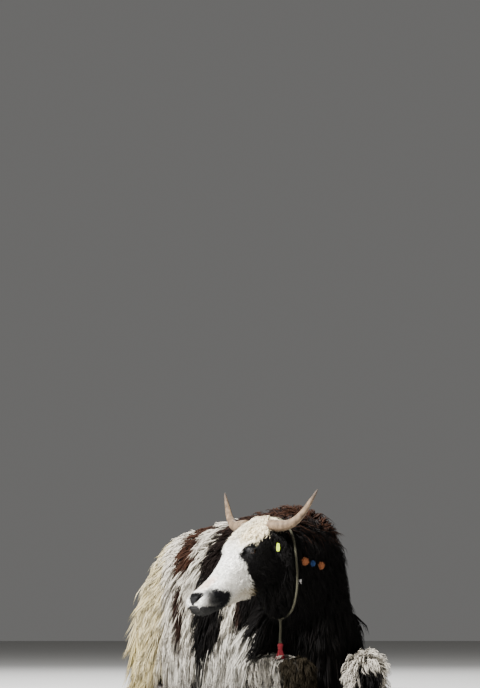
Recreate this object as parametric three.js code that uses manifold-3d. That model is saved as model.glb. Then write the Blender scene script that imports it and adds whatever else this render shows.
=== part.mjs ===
// A domestic yak lying down with its head turned to its right, as a still, life-size model.
// Millimetres, +Z up. The yak faces -Y and its right side is -X.
// The origin is on the floor, under its brisket.
import * as THREE from "three";
import { mergeVertices } from "three/addons/utils/BufferGeometryUtils.js";
import Module from "manifold-3d";

const wasm = await Module();
wasm.setup();

// Driving dimensions
const touchGap = 0.35; // between nodes that meet
const hair = 0.02; // by which a surface that touches itself is drawn apart
const lockClear = 3; // kept between a lock and what it hangs over
const lockFloor = 6; // lowest a lock's middle line comes to the floor
const headHeading = 75; // degrees that the head is turned to the right
const headPitch = 41; // degrees that the nose points down
const headRoll = 1; // degrees, right side up
const poll = vec(-304, -350, 720);
const eyeRadius = 21;
const lidThickness = 4;
const ropeRadius = 5;
const collarSlack = 10; // how far the collar hangs clear below the throat
const strapLength = 92; // from the collar down to the tassel
const neckCoat = 16; // depth of the coat that the collar lies on
const headCoat = 6;

// Torso rows from chest to pins: y, top, level of the widest place, half width, bottom
const torsoRows = [
  [-347, 345, 250, 22, 185],
  [-338, 440, 250, 58, 110],
  [-305, 585, 245, 126, 20],
  [-240, 700, 240, 162, -12],
  [-150, 768, 240, 186, -15],
  [-50, 780, 245, 203, -15],
  [60, 770, 250, 232, -15],
  [200, 757, 250, 285, -15],
  [380, 745, 250, 332, -15],
  [560, 728, 255, 346, -15],
  [720, 716, 265, 335, -15],
  [840, 708, 280, 308, -10],
  [920, 688, 300, 268, 0],
  [975, 640, 320, 208, 40],
  [1008, 545, 330, 120, 150],
  [1020, 430, 328, 44, 235],
];

// Neck rows from the withers to the back of the head: x, y, z, half width, up, down
const neckRows = [
  [20, -60, 480, 140, 190, 200],
  [-20, -170, 515, 145, 195, 230],
  [-90, -255, 560, 128, 165, 240],
  [-175, -315, 605, 110, 132, 225],
  [-250, -345, 640, 95, 94, 190],
  [-300, -352, 655, 74, 62, 130],
];

// Head rows: distance from the poll towards the nose, top line, half heights above and below the widest
// place, half width
const headRows = [
  [-58, -45, 40, 48, 45],
  [-35, -10, 68, 84, 86],
  [10, 6, 80, 112, 102],
  [60, 15, 85, 134, 107],
  [110, 15, 82, 146, 107],
  [160, 5, 76, 142, 101],
  [215, -8, 68, 126, 86],
  [275, -17, 60, 108, 71],
  [335, -20, 54, 88, 61],
  [385, -17, 50, 74, 60],
  [425, -13, 48, 70, 64],
  [455, -14, 44, 64, 62],
  [476, -32, 30, 42, 46],
];

// Horn rows, from the middle of the poll: outward, up, back, radius
const hornRows = [
  [75, -18, 4, 24],
  [122, -20, 6, 24],
  [160, -19, 15, 21],
  [197, -3, 25, 18],
  [235, 30, 39, 14.5],
  [269, 77, 53, 9.5],
  [304, 128, 66, 3.5],
];

// Ear rows, from the middle of the poll: outward, up, back, half width, half thickness
const earRows = [
  [82, -54, -14, 15, 11],
  [112, -76, -10, 25, 13],
  [140, -104, -4, 33, 14],
  [168, -140, 4, 27, 11],
  [190, -176, 12, 9, 5],
];

// Leg rows, for the left side: x, y, z, half width, up, down
const shoulderRows = [
  [115, -215, 340, 60, 80, 80],
  [155, -165, 275, 82, 88, 88],
  [192, -100, 200, 80, 82, 82],
  [215, -45, 142, 60, 64, 64],
];
const thighRows = [
  [150, 840, 470, 80, 90, 90],
  [205, 785, 415, 118, 130, 130],
  [242, 700, 325, 122, 140, 140],
  [275, 600, 225, 92, 112, 112],
  [285, 545, 175, 62, 80, 80],
];
const foreLegRows = {
  forearm: [
    [218, -20, 124, 50, 56, 56],
    [212, -110, 124, 60, 60, 58],
    [190, -240, 116, 54, 54, 50],
    [165, -370, 112, 50, 52, 48],
    [153, -440, 105, 46, 48, 48],
  ],
  knee: [
    [152, -375, 84, 46, 62, 62],
    [150, -430, 82, 56, 84, 84],
    [149, -470, 78, 42, 60, 62],
  ],
  cannon: [
    [152, -440, 38, 34, 36, 42],
    [172, -330, 36, 31, 32, 38],
    [192, -230, 36, 31, 32, 38],
    [202, -172, 36, 33, 34, 40],
  ],
};
const hindLegRows = {
  shank: [
    [285, 560, 165, 66, 76, 70],
    [288, 660, 140, 66, 72, 62],
    [286, 790, 112, 52, 54, 52],
    [282, 885, 96, 42, 46, 48],
  ],
  hock: [
    [284, 850, 80, 40, 50, 60],
    [280, 905, 84, 42, 52, 66],
    [276, 945, 92, 26, 32, 34],
  ],
  cannon: [
    [290, 890, 44, 34, 36, 48],
    [312, 800, 38, 31, 33, 42],
    [326, 700, 36, 31, 32, 38],
    [328, 645, 36, 33, 34, 40],
  ],
};
const hoofStart = { front: [202, -172, 0.06, 1], hind: [328, 645, 0.05, -1] };

// Tail rows from the tailhead, laid over the right haunch: x, y, z, half width, up, down
const tailRows = [
  [0, 950, 610, 30, 28, 28],
  [-60, 1000, 608, 31, 26, 26],
  [-138, 1026, 560, 34, 24, 24],
  [-206, 1038, 450, 40, 22, 24],
  [-248, 1036, 310, 48, 22, 24],
  [-272, 1028, 170, 54, 20, 22],
  [-284, 1018, 70, 54, 18, 20],
  [-286, 1014, 24, 48, 14, 16],
];

function vec(x, y, z) {
  return new THREE.Vector3(x, y, z);
}

// A closed mesh as a solid that can be joined and cut
function solidFrom(geometry) {
  const bare = new THREE.BufferGeometry();
  bare.setAttribute("position", geometry.getAttribute("position"));
  bare.setIndex(geometry.index);
  const merged = mergeVertices(bare, 1e-4);
  const mesh = new wasm.Mesh({
    numProp: 3,
    vertProperties: merged.getAttribute("position").array,
    triVerts: new Uint32Array(merged.index.array),
  });
  return new wasm.Manifold(mesh);
}

function join(solids) {
  return solids.reduce((sum, solid) => sum.add(solid));
}

function cut(solid, cutters) {
  return cutters.reduce((left, cutter) => left.subtract(cutter), solid);
}

function largest(solid) {
  const pieces = solid.decompose();
  pieces.sort((a, b) => b.volume() - a.volume());
  return pieces[0];
}

function signedPower(value, power) {
  return Math.sign(value) * Math.abs(value) ** power;
}

// Rings of points with a pole at each end, as one closed solid
function closeRings(rings, startPole, endPole) {
  const sides = rings[0].length;
  const corners = [...rings.flat(), startPole, endPole];
  const start = rings.length * sides;
  const faces = [];
  for (let j = 0; j < sides; j++) {
    const next = (j + 1) % sides;
    faces.push(start, j, next, start + 1, start - sides + next, start - sides + j);
    for (let i = 0; i < rings.length - 1; i++) {
      const a = i * sides + j;
      const b = i * sides + next;
      faces.push(a, a + sides, b, b, a + sides, b + sides);
    }
  }
  const geometry = new THREE.BufferGeometry().setFromPoints(corners);
  geometry.setIndex(faces);
  return solidFrom(geometry);
}

// A rounded body of rings along a curve. Each row gives a centre and half sizes: across, up and down.
class Loft {
  constructor(rows, shape = {}) {
    const { sides = 16, rings = 16, upward = vec(0, 0, 1), bulge = 2.2, cap = 6, ahead, uneven = 0.5 } = shape;
    this.centres = new THREE.CatmullRomCurve3(rows.map((r) => vec(r[0], r[1], r[2])), false, "catmullrom");
    this.sizes = new THREE.CatmullRomCurve3(rows.map((r) => vec(r[3], r[4], r[5])), false, "catmullrom");
    this.sides = sides;
    this.rings = rings;
    this.upward = upward;
    this.bulge = bulge;
    this.cap = cap;
    this.ahead = ahead;
    this.uneven = uneven;
  }

  frame(t) {
    const forward = this.ahead ? this.ahead.clone() : this.centres.getTangent(t);
    const across = forward.clone().cross(this.upward).normalize();
    const up = across.clone().cross(forward);
    return { centre: this.centres.getPoint(t), size: this.sizes.getPoint(t), forward, across, up };
  }

  point(t, angle, grow = 0) {
    const { centre, size, across, up } = this.frame(t);
    const height = Math.sin(angle) > 0 ? size.y : size.z;
    const outX = (size.x + grow) * signedPower(Math.cos(angle), 2 / this.bulge);
    const outY = (height + grow) * signedPower(Math.sin(angle), 2 / this.bulge);
    return centre.addScaledVector(across, outX).addScaledVector(up, outY);
  }

  solid(grow = 0) {
    const circle = [];
    for (let i = 0; i <= this.rings; i++) {
      const turns = Array.from({ length: this.sides }, (_, j) => (j / this.sides) * 2 * Math.PI);
      const swell = (j) => grow + this.uneven * Math.sin(5 * i + 3 * j);
      circle.push(turns.map((angle, j) => this.point(i / this.rings, angle, swell(j))));
    }
    const first = this.frame(0);
    const last = this.frame(1);
    return closeRings(
      circle,
      first.centre.addScaledVector(first.forward, -this.cap - grow),
      last.centre.addScaledVector(last.forward, this.cap + grow),
    );
  }

  // The place where a middle line passes a level of Y, for a loft that runs along Y
  along(y) {
    let [low, high] = [0, 1];
    while (high - low > 0.001) {
      const middle = (low + high) / 2;
      if (this.centres.getPoint(middle).y < y) low = middle;
      else high = middle;
    }
    return low;
  }

  outward(t, angle) {
    const across = this.point(t, angle + 0.02).sub(this.point(t, angle - 0.02));
    const ahead = this.point(Math.min(1, t + 0.01), angle).sub(this.point(Math.max(0, t - 0.01), angle));
    return ahead.cross(across).normalize();
  }

  // How far a place is outside the surface, and the way out of it
  clearOf(place) {
    this.samples ??= Array.from({ length: 33 }, (_, i) => this.frame(i / 32));
    const near = this.samples.reduce((best, sample) =>
      sample.centre.distanceToSquared(place) < best.centre.distanceToSquared(place) ? sample : best,
    );
    const local = place.clone().sub(near.centre);
    const [a, b, c] = [near.across, near.up, near.forward].map((axis) => local.dot(axis));
    const height = b > 0 ? near.size.y : near.size.z;
    const [ra, rb] = [Math.abs(a) / near.size.x, Math.abs(b) / height];
    const share = Math.max(0.05, (ra ** this.bulge + rb ** this.bulge) ** (1 / this.bulge));
    const way = near.across
      .clone()
      .multiplyScalar((Math.sign(a) * ra ** (this.bulge - 1)) / near.size.x)
      .addScaledVector(near.up, (Math.sign(b) * rb ** (this.bulge - 1)) / height)
      .normalize();
    let distance = Math.hypot(a, b) * (1 - 1 / share);
    const beyond = near === this.samples[0] ? -c : near === this.samples.at(-1) ? c : 0;
    if (beyond > 0) {
      way.multiplyScalar(Math.max(0.01, distance));
      way.addScaledVector(near.forward, Math.sign(c) * beyond).normalize();
      distance = Math.max(distance, beyond);
    }
    return { distance, way };
  }
}

function ball(centre, radii, basis = new THREE.Matrix4(), detail = 10) {
  const geometry = new THREE.SphereGeometry(1, detail, Math.round(detail * 0.7));
  geometry.scale(radii[0], radii[1], radii[2]);
  geometry.applyMatrix4(basis);
  geometry.translate(centre.x, centre.y, centre.z);
  return solidFrom(geometry);
}

function block(centre, size, basis = new THREE.Matrix4()) {
  const geometry = new THREE.BoxGeometry(size[0], size[1], size[2]);
  geometry.applyMatrix4(basis);
  geometry.translate(centre.x, centre.y, centre.z);
  return solidFrom(geometry);
}

// Directions of the turned head: forward along the nose, left, and up from the forehead
const turn = THREE.MathUtils.degToRad(headHeading);
const pitch = THREE.MathUtils.degToRad(headPitch);
const heading = vec(-Math.sin(turn), -Math.cos(turn), 0);
const headForward = heading.clone().multiplyScalar(Math.cos(pitch)).setZ(-Math.sin(pitch));
const levelLeft = vec(Math.cos(turn), -Math.sin(turn), 0);
const headLeft = levelLeft.clone().applyAxisAngle(headForward, -THREE.MathUtils.degToRad(headRoll));
const headUp = headForward.clone().cross(headLeft);
const headBasis = new THREE.Matrix4().makeBasis(headLeft, headForward.clone().negate(), headUp);

// A place on the head: forward of the poll, to the left, and above the line from poll to nose
function headPlace(forward, left, above) {
  return poll
    .clone()
    .addScaledVector(headForward, forward)
    .addScaledVector(headLeft, left)
    .addScaledVector(headUp, above);
}

// A place near the poll for what the head carries: outward on one side, up, and back from the nose
function crownPlace(side, outward, above, back) {
  const place = poll.clone().addScaledVector(headLeft, side * outward).addScaledVector(heading, -back);
  place.z += above;
  return place;
}

function mirrored(rows, side) {
  return rows.map((row) => [side * row[0], ...row.slice(1)]);
}

const floorCutter = block(vec(0, 300, -200), [3000, 3000, 400]);

// Lofts of the body
const torso = new Loft(
  torsoRows.map(([y, top, widest, half, bottom]) => [0, y, widest, half, top - widest, widest - bottom]),
  { sides: 18, rings: 15, bulge: 2.45, cap: 10, ahead: vec(0, 1, 0), uneven: 2 },
);
const neck = new Loft(neckRows, { sides: 14, rings: 8 });
const head = new Loft(
  headRows.map(([along, top, up, down, half]) => [...headPlace(along, 0, top - up).toArray(), half, up, down]),
  { sides: 16, rings: 20, upward: headUp, bulge: 2.3, ahead: headForward },
);
const tail = new Loft(tailRows, { sides: 8, rings: 12, upward: vec(0.45, 0.9, 0.2) });

function legLofts(rows, side) {
  return Object.values(rows).map((part) => new Loft(mirrored(part, side), { sides: 10, rings: 6, cap: 22 }));
}

function hornLoft(side) {
  const rows = hornRows.map(([out, above, back, radius]) => [
    ...crownPlace(side, out, above, back).toArray(),
    radius,
    radius,
    radius,
  ]);
  return new Loft(rows, { sides: 10, rings: 11, upward: heading, bulge: 2, cap: 4 });
}

function earSolid(side, grow = 0) {
  const outer = earRows.map(([out, above, back, half, thick]) => [
    ...crownPlace(side, out, above, back).toArray(),
    half,
    thick * 0.5,
    thick,
  ]);
  const hollow = earRows
    .slice(1)
    .map(([out, above, back, half, thick]) => [
      ...crownPlace(side, out + 2, above, back - thick * 0.85).toArray(),
      half - 5,
      thick,
      thick,
    ]);
  const shape = { sides: 10, rings: 7, upward: heading, cap: 5 };
  return new Loft(outer, shape).solid(grow).subtract(new Loft(hollow, { ...shape, cap: 0.5 }).solid(-grow));
}

// The face: brows, cheeks, nostril wings, chin and lips on the head, then the cuts for nostrils, mouth and eyes
const eyeAlong = 156;
const eyeOut = 73;
const eyeBelow = -30;
const mouthAlong = 425;
const mouthBelow = -82;
const mouthTilt = THREE.MathUtils.degToRad(6);

function mouthPlate(thickness) {
  const tilted = headBasis.clone().multiply(new THREE.Matrix4().makeRotationX(mouthTilt));
  return block(headPlace(mouthAlong + 40, 0, mouthBelow), [200, 170, thickness], tilted);
}

function headForms(grow = 0) {
  const forms = [head.solid(grow)];
  const swelling = (place, radii) => forms.push(ball(place, radii.map((r) => r + grow), headBasis));
  swelling(headPlace(425, 0, -112), [34, 40, 24]);
  for (const side of [-1, 1]) {
    swelling(headPlace(135, side * 60, -14), [32, 52, 20]);
    swelling(headPlace(115, side * 74, -120), [32, 84, 78]);
    swelling(headPlace(452, side * 34, -44), [22, 26, 22]);
  }
  return join(forms);
}

function headSolid() {
  const forms = [headForms(), mouthPlate(26).intersect(head.solid(4))];
  for (const side of [-1, 1]) {
    const lid = Array(3).fill(eyeRadius + lidThickness);
    forms.push(ball(headPlace(eyeAlong, side * eyeOut, eyeBelow), lid, headBasis));
  }
  const cuts = [mouthPlate(3).subtract(head.solid(-9))];
  for (const side of [-1, 1]) {
    const slant = headBasis.clone().multiply(new THREE.Matrix4().makeRotationY(side * 0.6));
    cuts.push(ball(headPlace(474, side * 34, -42), [8, 20, 13], slant));
    const socket = Array(3).fill(eyeRadius + touchGap);
    cuts.push(ball(headPlace(eyeAlong, side * eyeOut, eyeBelow), socket, headBasis, 12));
    cuts.push(ball(headPlace(eyeAlong, side * (eyeOut + 24), eyeBelow - 1), [20, 19, 11], headBasis));
  }
  return cut(join(forms), cuts);
}

function eyeSolid(side) {
  return ball(headPlace(eyeAlong, side * eyeOut, eyeBelow), Array(3).fill(eyeRadius), headBasis, 12);
}

// A cloven hoof: two claws that point away from the fetlock
function hoofSolid(fetlock, direction) {
  const across = vec(-direction.y, direction.x, 0);
  const claws = [-1, 1].map((side) => {
    const place = (along, out, z) =>
      fetlock.clone().addScaledVector(direction, along).addScaledVector(across, side * out).setZ(z);
    const rows = [
      [...place(-12, 9, 34).toArray(), 20, 26, 36],
      [...place(20, 15, 30).toArray(), 19, 24, 36],
      [...place(52, 17, 22).toArray(), 16, 18, 28],
      [...place(76, 13, 12).toArray(), 9, 9, 16],
    ];
    return new Loft(rows, { sides: 7, rings: 2, cap: 3 }).solid();
  });
  return join(claws);
}

// A rope along a closed curve
function ropeSolid(points, radius, steps) {
  const path = new THREE.CatmullRomCurve3(points, true, "catmullrom");
  const section = new THREE.Shape();
  section.absarc(0, 0, radius, 0, 2 * Math.PI);
  return solidFrom(
    new THREE.ExtrudeGeometry(section, { steps, curveSegments: 3, bevelEnabled: false, extrudePath: path }),
  );
}

// Where a ring of rays in a tilted plane, shot inwards, meets the solids
function girth(solids, centre, normal, count) {
  const mesh = rayTarget(join(solids));
  const start = vec(0, 0, 1).projectOnPlane(normal).normalize();
  const caster = new THREE.Raycaster();
  const points = [];
  for (let i = 0; i < count; i++) {
    const outward = start.clone().applyAxisAngle(normal, (i / count) * 2 * Math.PI);
    caster.set(centre.clone().addScaledVector(outward, 900), outward.clone().negate());
    const hit = caster.intersectObject(mesh)[0];
    points.push({ point: hit.point, outward });
  }
  return points;
}

// A solid as a mesh that rays can meet
function rayTarget(solid) {
  return new THREE.Mesh(geometryOf(solid), new THREE.MeshBasicMaterial({ side: THREE.DoubleSide }));
}

function geometryOf(solid) {
  const mesh = solid.getMesh();
  const geometry = new THREE.BufferGeometry();
  geometry.setAttribute("position", new THREE.BufferAttribute(mesh.vertProperties.slice(), 3));
  geometry.setIndex(new THREE.BufferAttribute(mesh.triVerts.slice(), 1));
  return geometry;
}

// Where joined locks leave a surface touching itself, draws each side a hair towards its own neighbours
function drawApart(geometry) {
  const corners = geometry.getAttribute("position");
  const place = (i) => vec(corners.getX(i), corners.getY(i), corners.getZ(i));
  const neighbours = Array.from({ length: corners.count }, () => new Set());
  const faces = geometry.index.array;
  for (let i = 0; i < faces.length; i += 3) {
    for (const [a, b, c] of [[i, i + 1, i + 2], [i + 1, i + 2, i], [i + 2, i, i + 1]]) {
      neighbours[faces[a]].add(faces[b]).add(faces[c]);
    }
  }
  const found = new Map();
  for (let i = 0; i < corners.count; i++) {
    const key = place(i).toArray().map((value) => value.toFixed(3)).join();
    found.set(key, [...(found.get(key) ?? []), i]);
  }
  for (const same of found.values()) {
    if (same.length < 2 || neighbours[same[0]].has(same[1])) continue;
    for (const i of same) {
      const middle = [...neighbours[i]].reduce((sum, j) => sum.add(place(j)), vec(0, 0, 0));
      const moved = middle.divideScalar(neighbours[i].size).sub(place(i)).setLength(hair).add(place(i));
      corners.setXYZ(i, moved.x, moved.y, moved.z);
    }
  }
}

// Locks of hair: each follows the surface from its root, then hangs, bends a little and ends in a point
const lockStops = [0, 0.22, 0.5, 0.78, 1];
const lockWidths = [0.5, 1, 0.94, 0.62];
const skirtWidths = [0.5, 0.92, 1, 0.78];
const lockDepths = [1, 1, 0.85, 0.6];
const lockRises = [0, 0, 0.45, 0.8, 1];
const lockTries = 5;
const lockLift = 4; // added at each try that would cross another node
const lockRidge = 0.65; // share of the depth that stands over the middle line

let seed = 13;
function draw(low, high) {
  seed = (Math.imul(seed, 1664525) + 1013904223) >>> 0;
  return low + ((high - low) * seed) / 2 ** 32;
}

function blade(path, style, grow = 0) {
  const rings = (style.widths ?? lockWidths).map((width, i) => {
    const direction = path[i + 1].at.clone().sub(path[Math.max(0, i - 1)].at).normalize();
    const across = direction.clone().cross(path[i].way).normalize();
    const up = across.clone().cross(direction);
    const half = (style.width / 2) * width + grow;
    const depth = style.depth * lockDepths[i];
    const middle = path[i].at;
    const edge = (side) =>
      middle.clone().addScaledVector(across, side * half).addScaledVector(up, (lockRidge - 1) * depth - grow);
    return [edge(1), middle.clone().addScaledVector(up, lockRidge * depth + grow), edge(-1)];
  });
  return closeRings(rings, path[0].at, path.at(-1).at);
}

function lockPath({ owner, others, skin, way, style, lie }, length, lifted) {
  const path = [{ at: skin.clone().addScaledVector(way, -style.sink), way }];
  const base = (1 - lockRidge) * style.depth + style.lift;
  let last = skin.clone();
  for (let i = 1; i < lockStops.length; i++) {
    const near = owner.clearOf(last);
    const aside = lie.clone().cross(near.way).normalize();
    const direction = lie.clone().addScaledVector(aside, style.bend * lockStops[i]);
    const dig = direction.dot(near.way);
    if (dig < 0 && near.distance < base + style.rise + 20) direction.addScaledVector(near.way, -dig);
    direction.normalize();
    const at = last.clone().addScaledVector(direction, length * (lockStops[i] - lockStops[i - 1]));
    let facing = near.way;
    for (let pass = 0; pass < 2; pass++) {
      for (const loft of [owner, ...others]) {
        const { distance, way: out } = loft.clearOf(at);
        const clear = base + style.rise * lockRises[i] + lifted + (loft === owner ? 0 : lockClear);
        if (distance < clear) {
          at.addScaledVector(out, clear - distance);
          facing = out;
        }
      }
    }
    at.z = Math.max(at.z, lockFloor + style.depth * 0.4 * (1 - lockStops[i]));
    path.push({ at, way: facing });
    last = at;
  }
  return path;
}

const group = new THREE.Group();
const nodes = new Map();

function keepNode(name, solid, colour, roughness = 0.9) {
  const geometry = geometryOf(solid);
  geometry.computeBoundingBox();
  nodes.set(name, { solid, colour, roughness, box: geometry.boundingBox });
}

function crosses(name, solid) {
  const geometry = geometryOf(solid);
  geometry.computeBoundingBox();
  const meets = (node) => node.box.intersectsBox(geometry.boundingBox);
  return [...nodes].some(
    ([other, node]) => other !== name && meets(node) && solid.intersect(node.solid).volume() > 1e-3,
  );
}

// Grows locks at a list of roots, lifting and shortening each until it is clear of the other nodes
function growLocks(name, roots) {
  const node = nodes.get(name);
  const grown = [];
  for (const root of roots) {
    for (let attempt = 0; attempt < lockTries; attempt++) {
      const path = lockPath(root, root.style.length * (1 - 0.1 * attempt), attempt * lockLift);
      if (crosses(name, blade(path, root.style, touchGap + 0.1))) continue;
      grown.push(blade(path, root.style));
      break;
    }
  }
  keepNode(name, largest(join([node.solid, ...grown]).subtract(floorCutter)), node.colour, node.roughness);
}

// Colours
const black = 0x17130f;
const white = 0xd8d0c2;
const brown = 0x4a2b1c;
const hornColour = 0xb5a68c;
const ropeColour = 0x8f8c72;
const cream = 0xcdbd92;
const red = 0xa3242b;
const orange = 0xc4622a;
const blue = 0x3a5a9c;

const sides = [
  ["left", 1],
  ["right", -1],
];
const legs = {};
for (const [name, side] of sides) {
  legs["foreleg_" + name] = legLofts(foreLegRows, side);
  legs["hindleg_" + name] = legLofts(hindLegRows, side);
}
const upperLegs = sides.flatMap(([, side]) => legLofts([shoulderRows, thighRows], side));
const everyLeg = Object.values(legs).flat();
const legSolids = (grow) => everyLeg.map((loft) => loft.solid(grow));

// The collar hangs behind the jaw, with a strap and a tassel below it
const collarCentre = vec(-222, -338, 590);
const collarLie = vec(-0.9, -0.32, -0.12).normalize();
// Wool ornaments tied into the mane: name, colour, radius, and where a sight line from the front meets them
const ornamentWay = vec(0.42, 0.9, 0).normalize();
const ornamentRows = [
  ["neck_knot", white, 11, 47, 478],
  ["wool_ball_front", orange, 17, 70, 556],
  ["wool_ball_middle", blue, 13, 105, 548],
  ["wool_ball_back", orange, 17, 142, 540],
];
const tagSize = [9, 19, 33];
const tagPlace = crownPlace(1, 142, -108, -6);

function ringPath(solids, centre, lie, radius, slack) {
  return girth(solids, centre, lie, 22).map(({ point, outward }) => {
    const hang = Math.max(0, -outward.z) ** 3 * slack;
    return point.clone().addScaledVector(outward, radius + hang);
  });
}

const collarBed = [neck.solid(neckCoat), head.solid(headCoat)];
const collarPath = ringPath(collarBed, collarCentre, collarLie, ropeRadius, collarSlack);
const lowest = collarPath.reduce((low, point) => (point.z < low.z ? point : low));
const knot = lowest.clone().add(vec(-4, -3, -ropeRadius));
const collar = (grow) => ropeSolid(collarPath, ropeRadius + grow, 30);

const neckMesh = rayTarget(neck.solid());
const ornaments = ornamentRows.map(([name, colour, radius, x, z]) => {
  const caster = new THREE.Raycaster(vec(x, 0, z).addScaledVector(ornamentWay, -900), ornamentWay);
  const place = caster.intersectObject(neckMesh)[0].point.addScaledVector(ornamentWay, -0.7 * radius);
  return { name, colour, solid: (grow) => ball(place, Array(3).fill(radius + grow), new THREE.Matrix4(), 7) };
});

function strapSolid(grow) {
  const rows = [0, 0.5, 1].map((t) => [
    ...knot.clone().setZ(knot.z - 1 - strapLength * t).toArray(),
    6 + grow,
    3 + grow,
    3 + grow,
  ]);
  return new Loft(rows, { sides: 8, rings: 3, upward: vec(-0.4, -0.9, 0), cap: 0 }).solid();
}

function tasselSolid(grow) {
  const upper = [[0, grow], [9, -2], [12, -12], [8, -20]];
  const profile = [...upper, [16, -34], [23, -62], [18, -66 - grow], [0, -64 - grow]];
  const outline = profile.map(([r, z]) => new THREE.Vector2(r && r + grow, z)).reverse();
  const geometry = new THREE.LatheGeometry(outline, 11);
  geometry.rotateX(Math.PI / 2);
  geometry.translate(knot.x, knot.y, knot.z - strapLength - 2);
  return solidFrom(geometry);
}

const neckCutters = [
  torso.solid(touchGap),
  headForms(3 * touchGap),
  ...legSolids(touchGap),
  collar(touchGap),
  hornLoft(1).solid(touchGap),
  ...upperLegs.map((loft) => loft.solid(touchGap)),
  ...ornaments.map(({ solid }) => solid(touchGap)),
];
const trunk = join([torso, ...upperLegs].map((loft) => loft.solid()));
keepNode("torso", cut(trunk, [...legSolids(touchGap), tail.solid(touchGap), tasselSolid(touchGap)]), brown);
keepNode("neck", cut(neck.solid(), neckCutters), black);
keepNode("head", cut(headSolid(), [collar(touchGap)]), white);
keepNode("tail", cut(tail.solid(), legSolids(touchGap)), cream);
for (const [name, lofts] of Object.entries(legs)) {
  const colour = name.endsWith("left") ? black : white;
  keepNode(name, cut(join(lofts.map((loft) => loft.solid())), [tasselSolid(touchGap)]), colour);
}
for (const [name, side] of sides) {
  keepNode("eye_" + name, eyeSolid(side), black, 0.1);
  keepNode("horn_" + name, hornLoft(side).solid().subtract(headForms(touchGap)), hornColour, 0.5);
  keepNode("ear_" + name, earSolid(side).subtract(headForms(touchGap)), black);
  for (const [place, [x, y, lean, way]] of Object.entries(hoofStart)) {
    const hoof = hoofSolid(vec(side * x, y, 0), vec(side * lean, way, 0).normalize());
    const limb = legs[(place === "front" ? "foreleg_" : "hindleg_") + name];
    keepNode("hoof_" + place + "_" + name, cut(hoof, limb.map((loft) => loft.solid(touchGap))), black, 0.6);
  }
}
keepNode("collar_rope", collar(0), ropeColour);
keepNode("collar_strap", strapSolid(0), ropeColour);
keepNode("collar_tassel", tasselSolid(0), red);
for (const { name, colour, solid } of ornaments) keepNode(name, solid(0), colour);
const tagBasis = new THREE.Matrix4().makeBasis(heading, levelLeft, vec(0, 0, 1));
keepNode("ear_tag", block(tagPlace, tagSize, tagBasis).subtract(earSolid(1, touchGap)), 0xc3cf3a, 0.5);

// Coat of the tail, the torso, the legs, the neck and the head
const radians = THREE.MathUtils.degToRad;
const mostBend = 0.22;

// The place of a lock: its root on the skin, the way out of the skin there, its shape and the way that it lies
function lockAt(owner, others, skin, way, style, lie) {
  const sway = vec(draw(-0.05, 0.05), draw(-0.05, 0.05), 0);
  const bend = draw(-1, 1) * (style.bend ?? mostBend);
  const length = style.length * draw(0.88, 1.12);
  return { owner, others, skin, way, style: { ...style, bend, length }, lie: vec(...lie).add(sway).normalize() };
}

function lockRoot(owner, others, side, t, angle, style, lie) {
  const raised = radians(side > 0 ? angle : 180 - angle);
  const hang = [side * lie[0], lie[1], lie[2]];
  return lockAt(owner, others, owner.point(t, raised), owner.outward(t, raised), style, hang);
}

// A tier of locks along a loft: share of its length from and to, and the angle up from its outer side.
// Each lock takes up its own place, and a tier may start half a place along, so that it covers the seams below.
function tier(owner, others, side, { from, to, count, angle, style, lie, start = 0.5 }) {
  const radian = radians(side > 0 ? angle : 180 - angle);
  const place = owner.point(from, radian).distanceTo(owner.point(to, radian)) / count;
  return Array.from({ length: count }, (_, i) => {
    const t = from + ((to - from) * (i + start + draw(-0.07, 0.07))) / count;
    const width = count > 1 ? place * draw(0.86, 0.96) : style.width;
    return lockRoot(owner, others, side, t, angle + draw(-2, 2), { ...style, width }, lie);
  });
}

const skirt = { length: 335, depth: 14, lift: 8, rise: 16, sink: 14, widths: skirtWidths };
const flank = { length: 245, depth: 13, lift: 7, rise: 16, sink: 14 };
const back = { length: 200, depth: 12, lift: 7, rise: 16, sink: 13 };
const crest = { length: 150, depth: 12, lift: 6, rise: 18, sink: 13 };
const rump = { length: 230, width: 96, depth: 14, lift: 8, rise: 16, sink: 14 };
const chest = { length: 190, width: 80, depth: 14, lift: 6, rise: 14, sink: 13 };
const legCoat = { length: 110, width: 84, depth: 12, lift: 5, rise: 14, sink: 12 };
const fringe = { length: 85, width: 60, depth: 10, lift: 4, rise: 12, sink: 10 };
const mane = { length: 140, width: 74, depth: 12, lift: 6, rise: 14, sink: 12 };
const curl = { length: 76, width: 50, depth: 12, lift: 2, rise: 9, sink: 10, bend: 0.7 };
const brush = { length: 260, width: 42, depth: 11, lift: 2, rise: 8, sink: 8 };

const tailRest = [torso, ...upperLegs, ...everyLeg];
const tailRoots = [];
const tailPlaces = [
  [25, [0.22, 0.38, 0.54, 0.7]],
  [90, [0.3, 0.46, 0.62, 0.76]],
  [155, [0.2, 0.36, 0.52, 0.68]],
];
for (const [angle, places] of tailPlaces) {
  for (const t of places) tailRoots.push(lockRoot(tail, tailRest, 1, t, angle, brush, [0, 0, -1]));
}
growLocks("tail", tailRoots);

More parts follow.
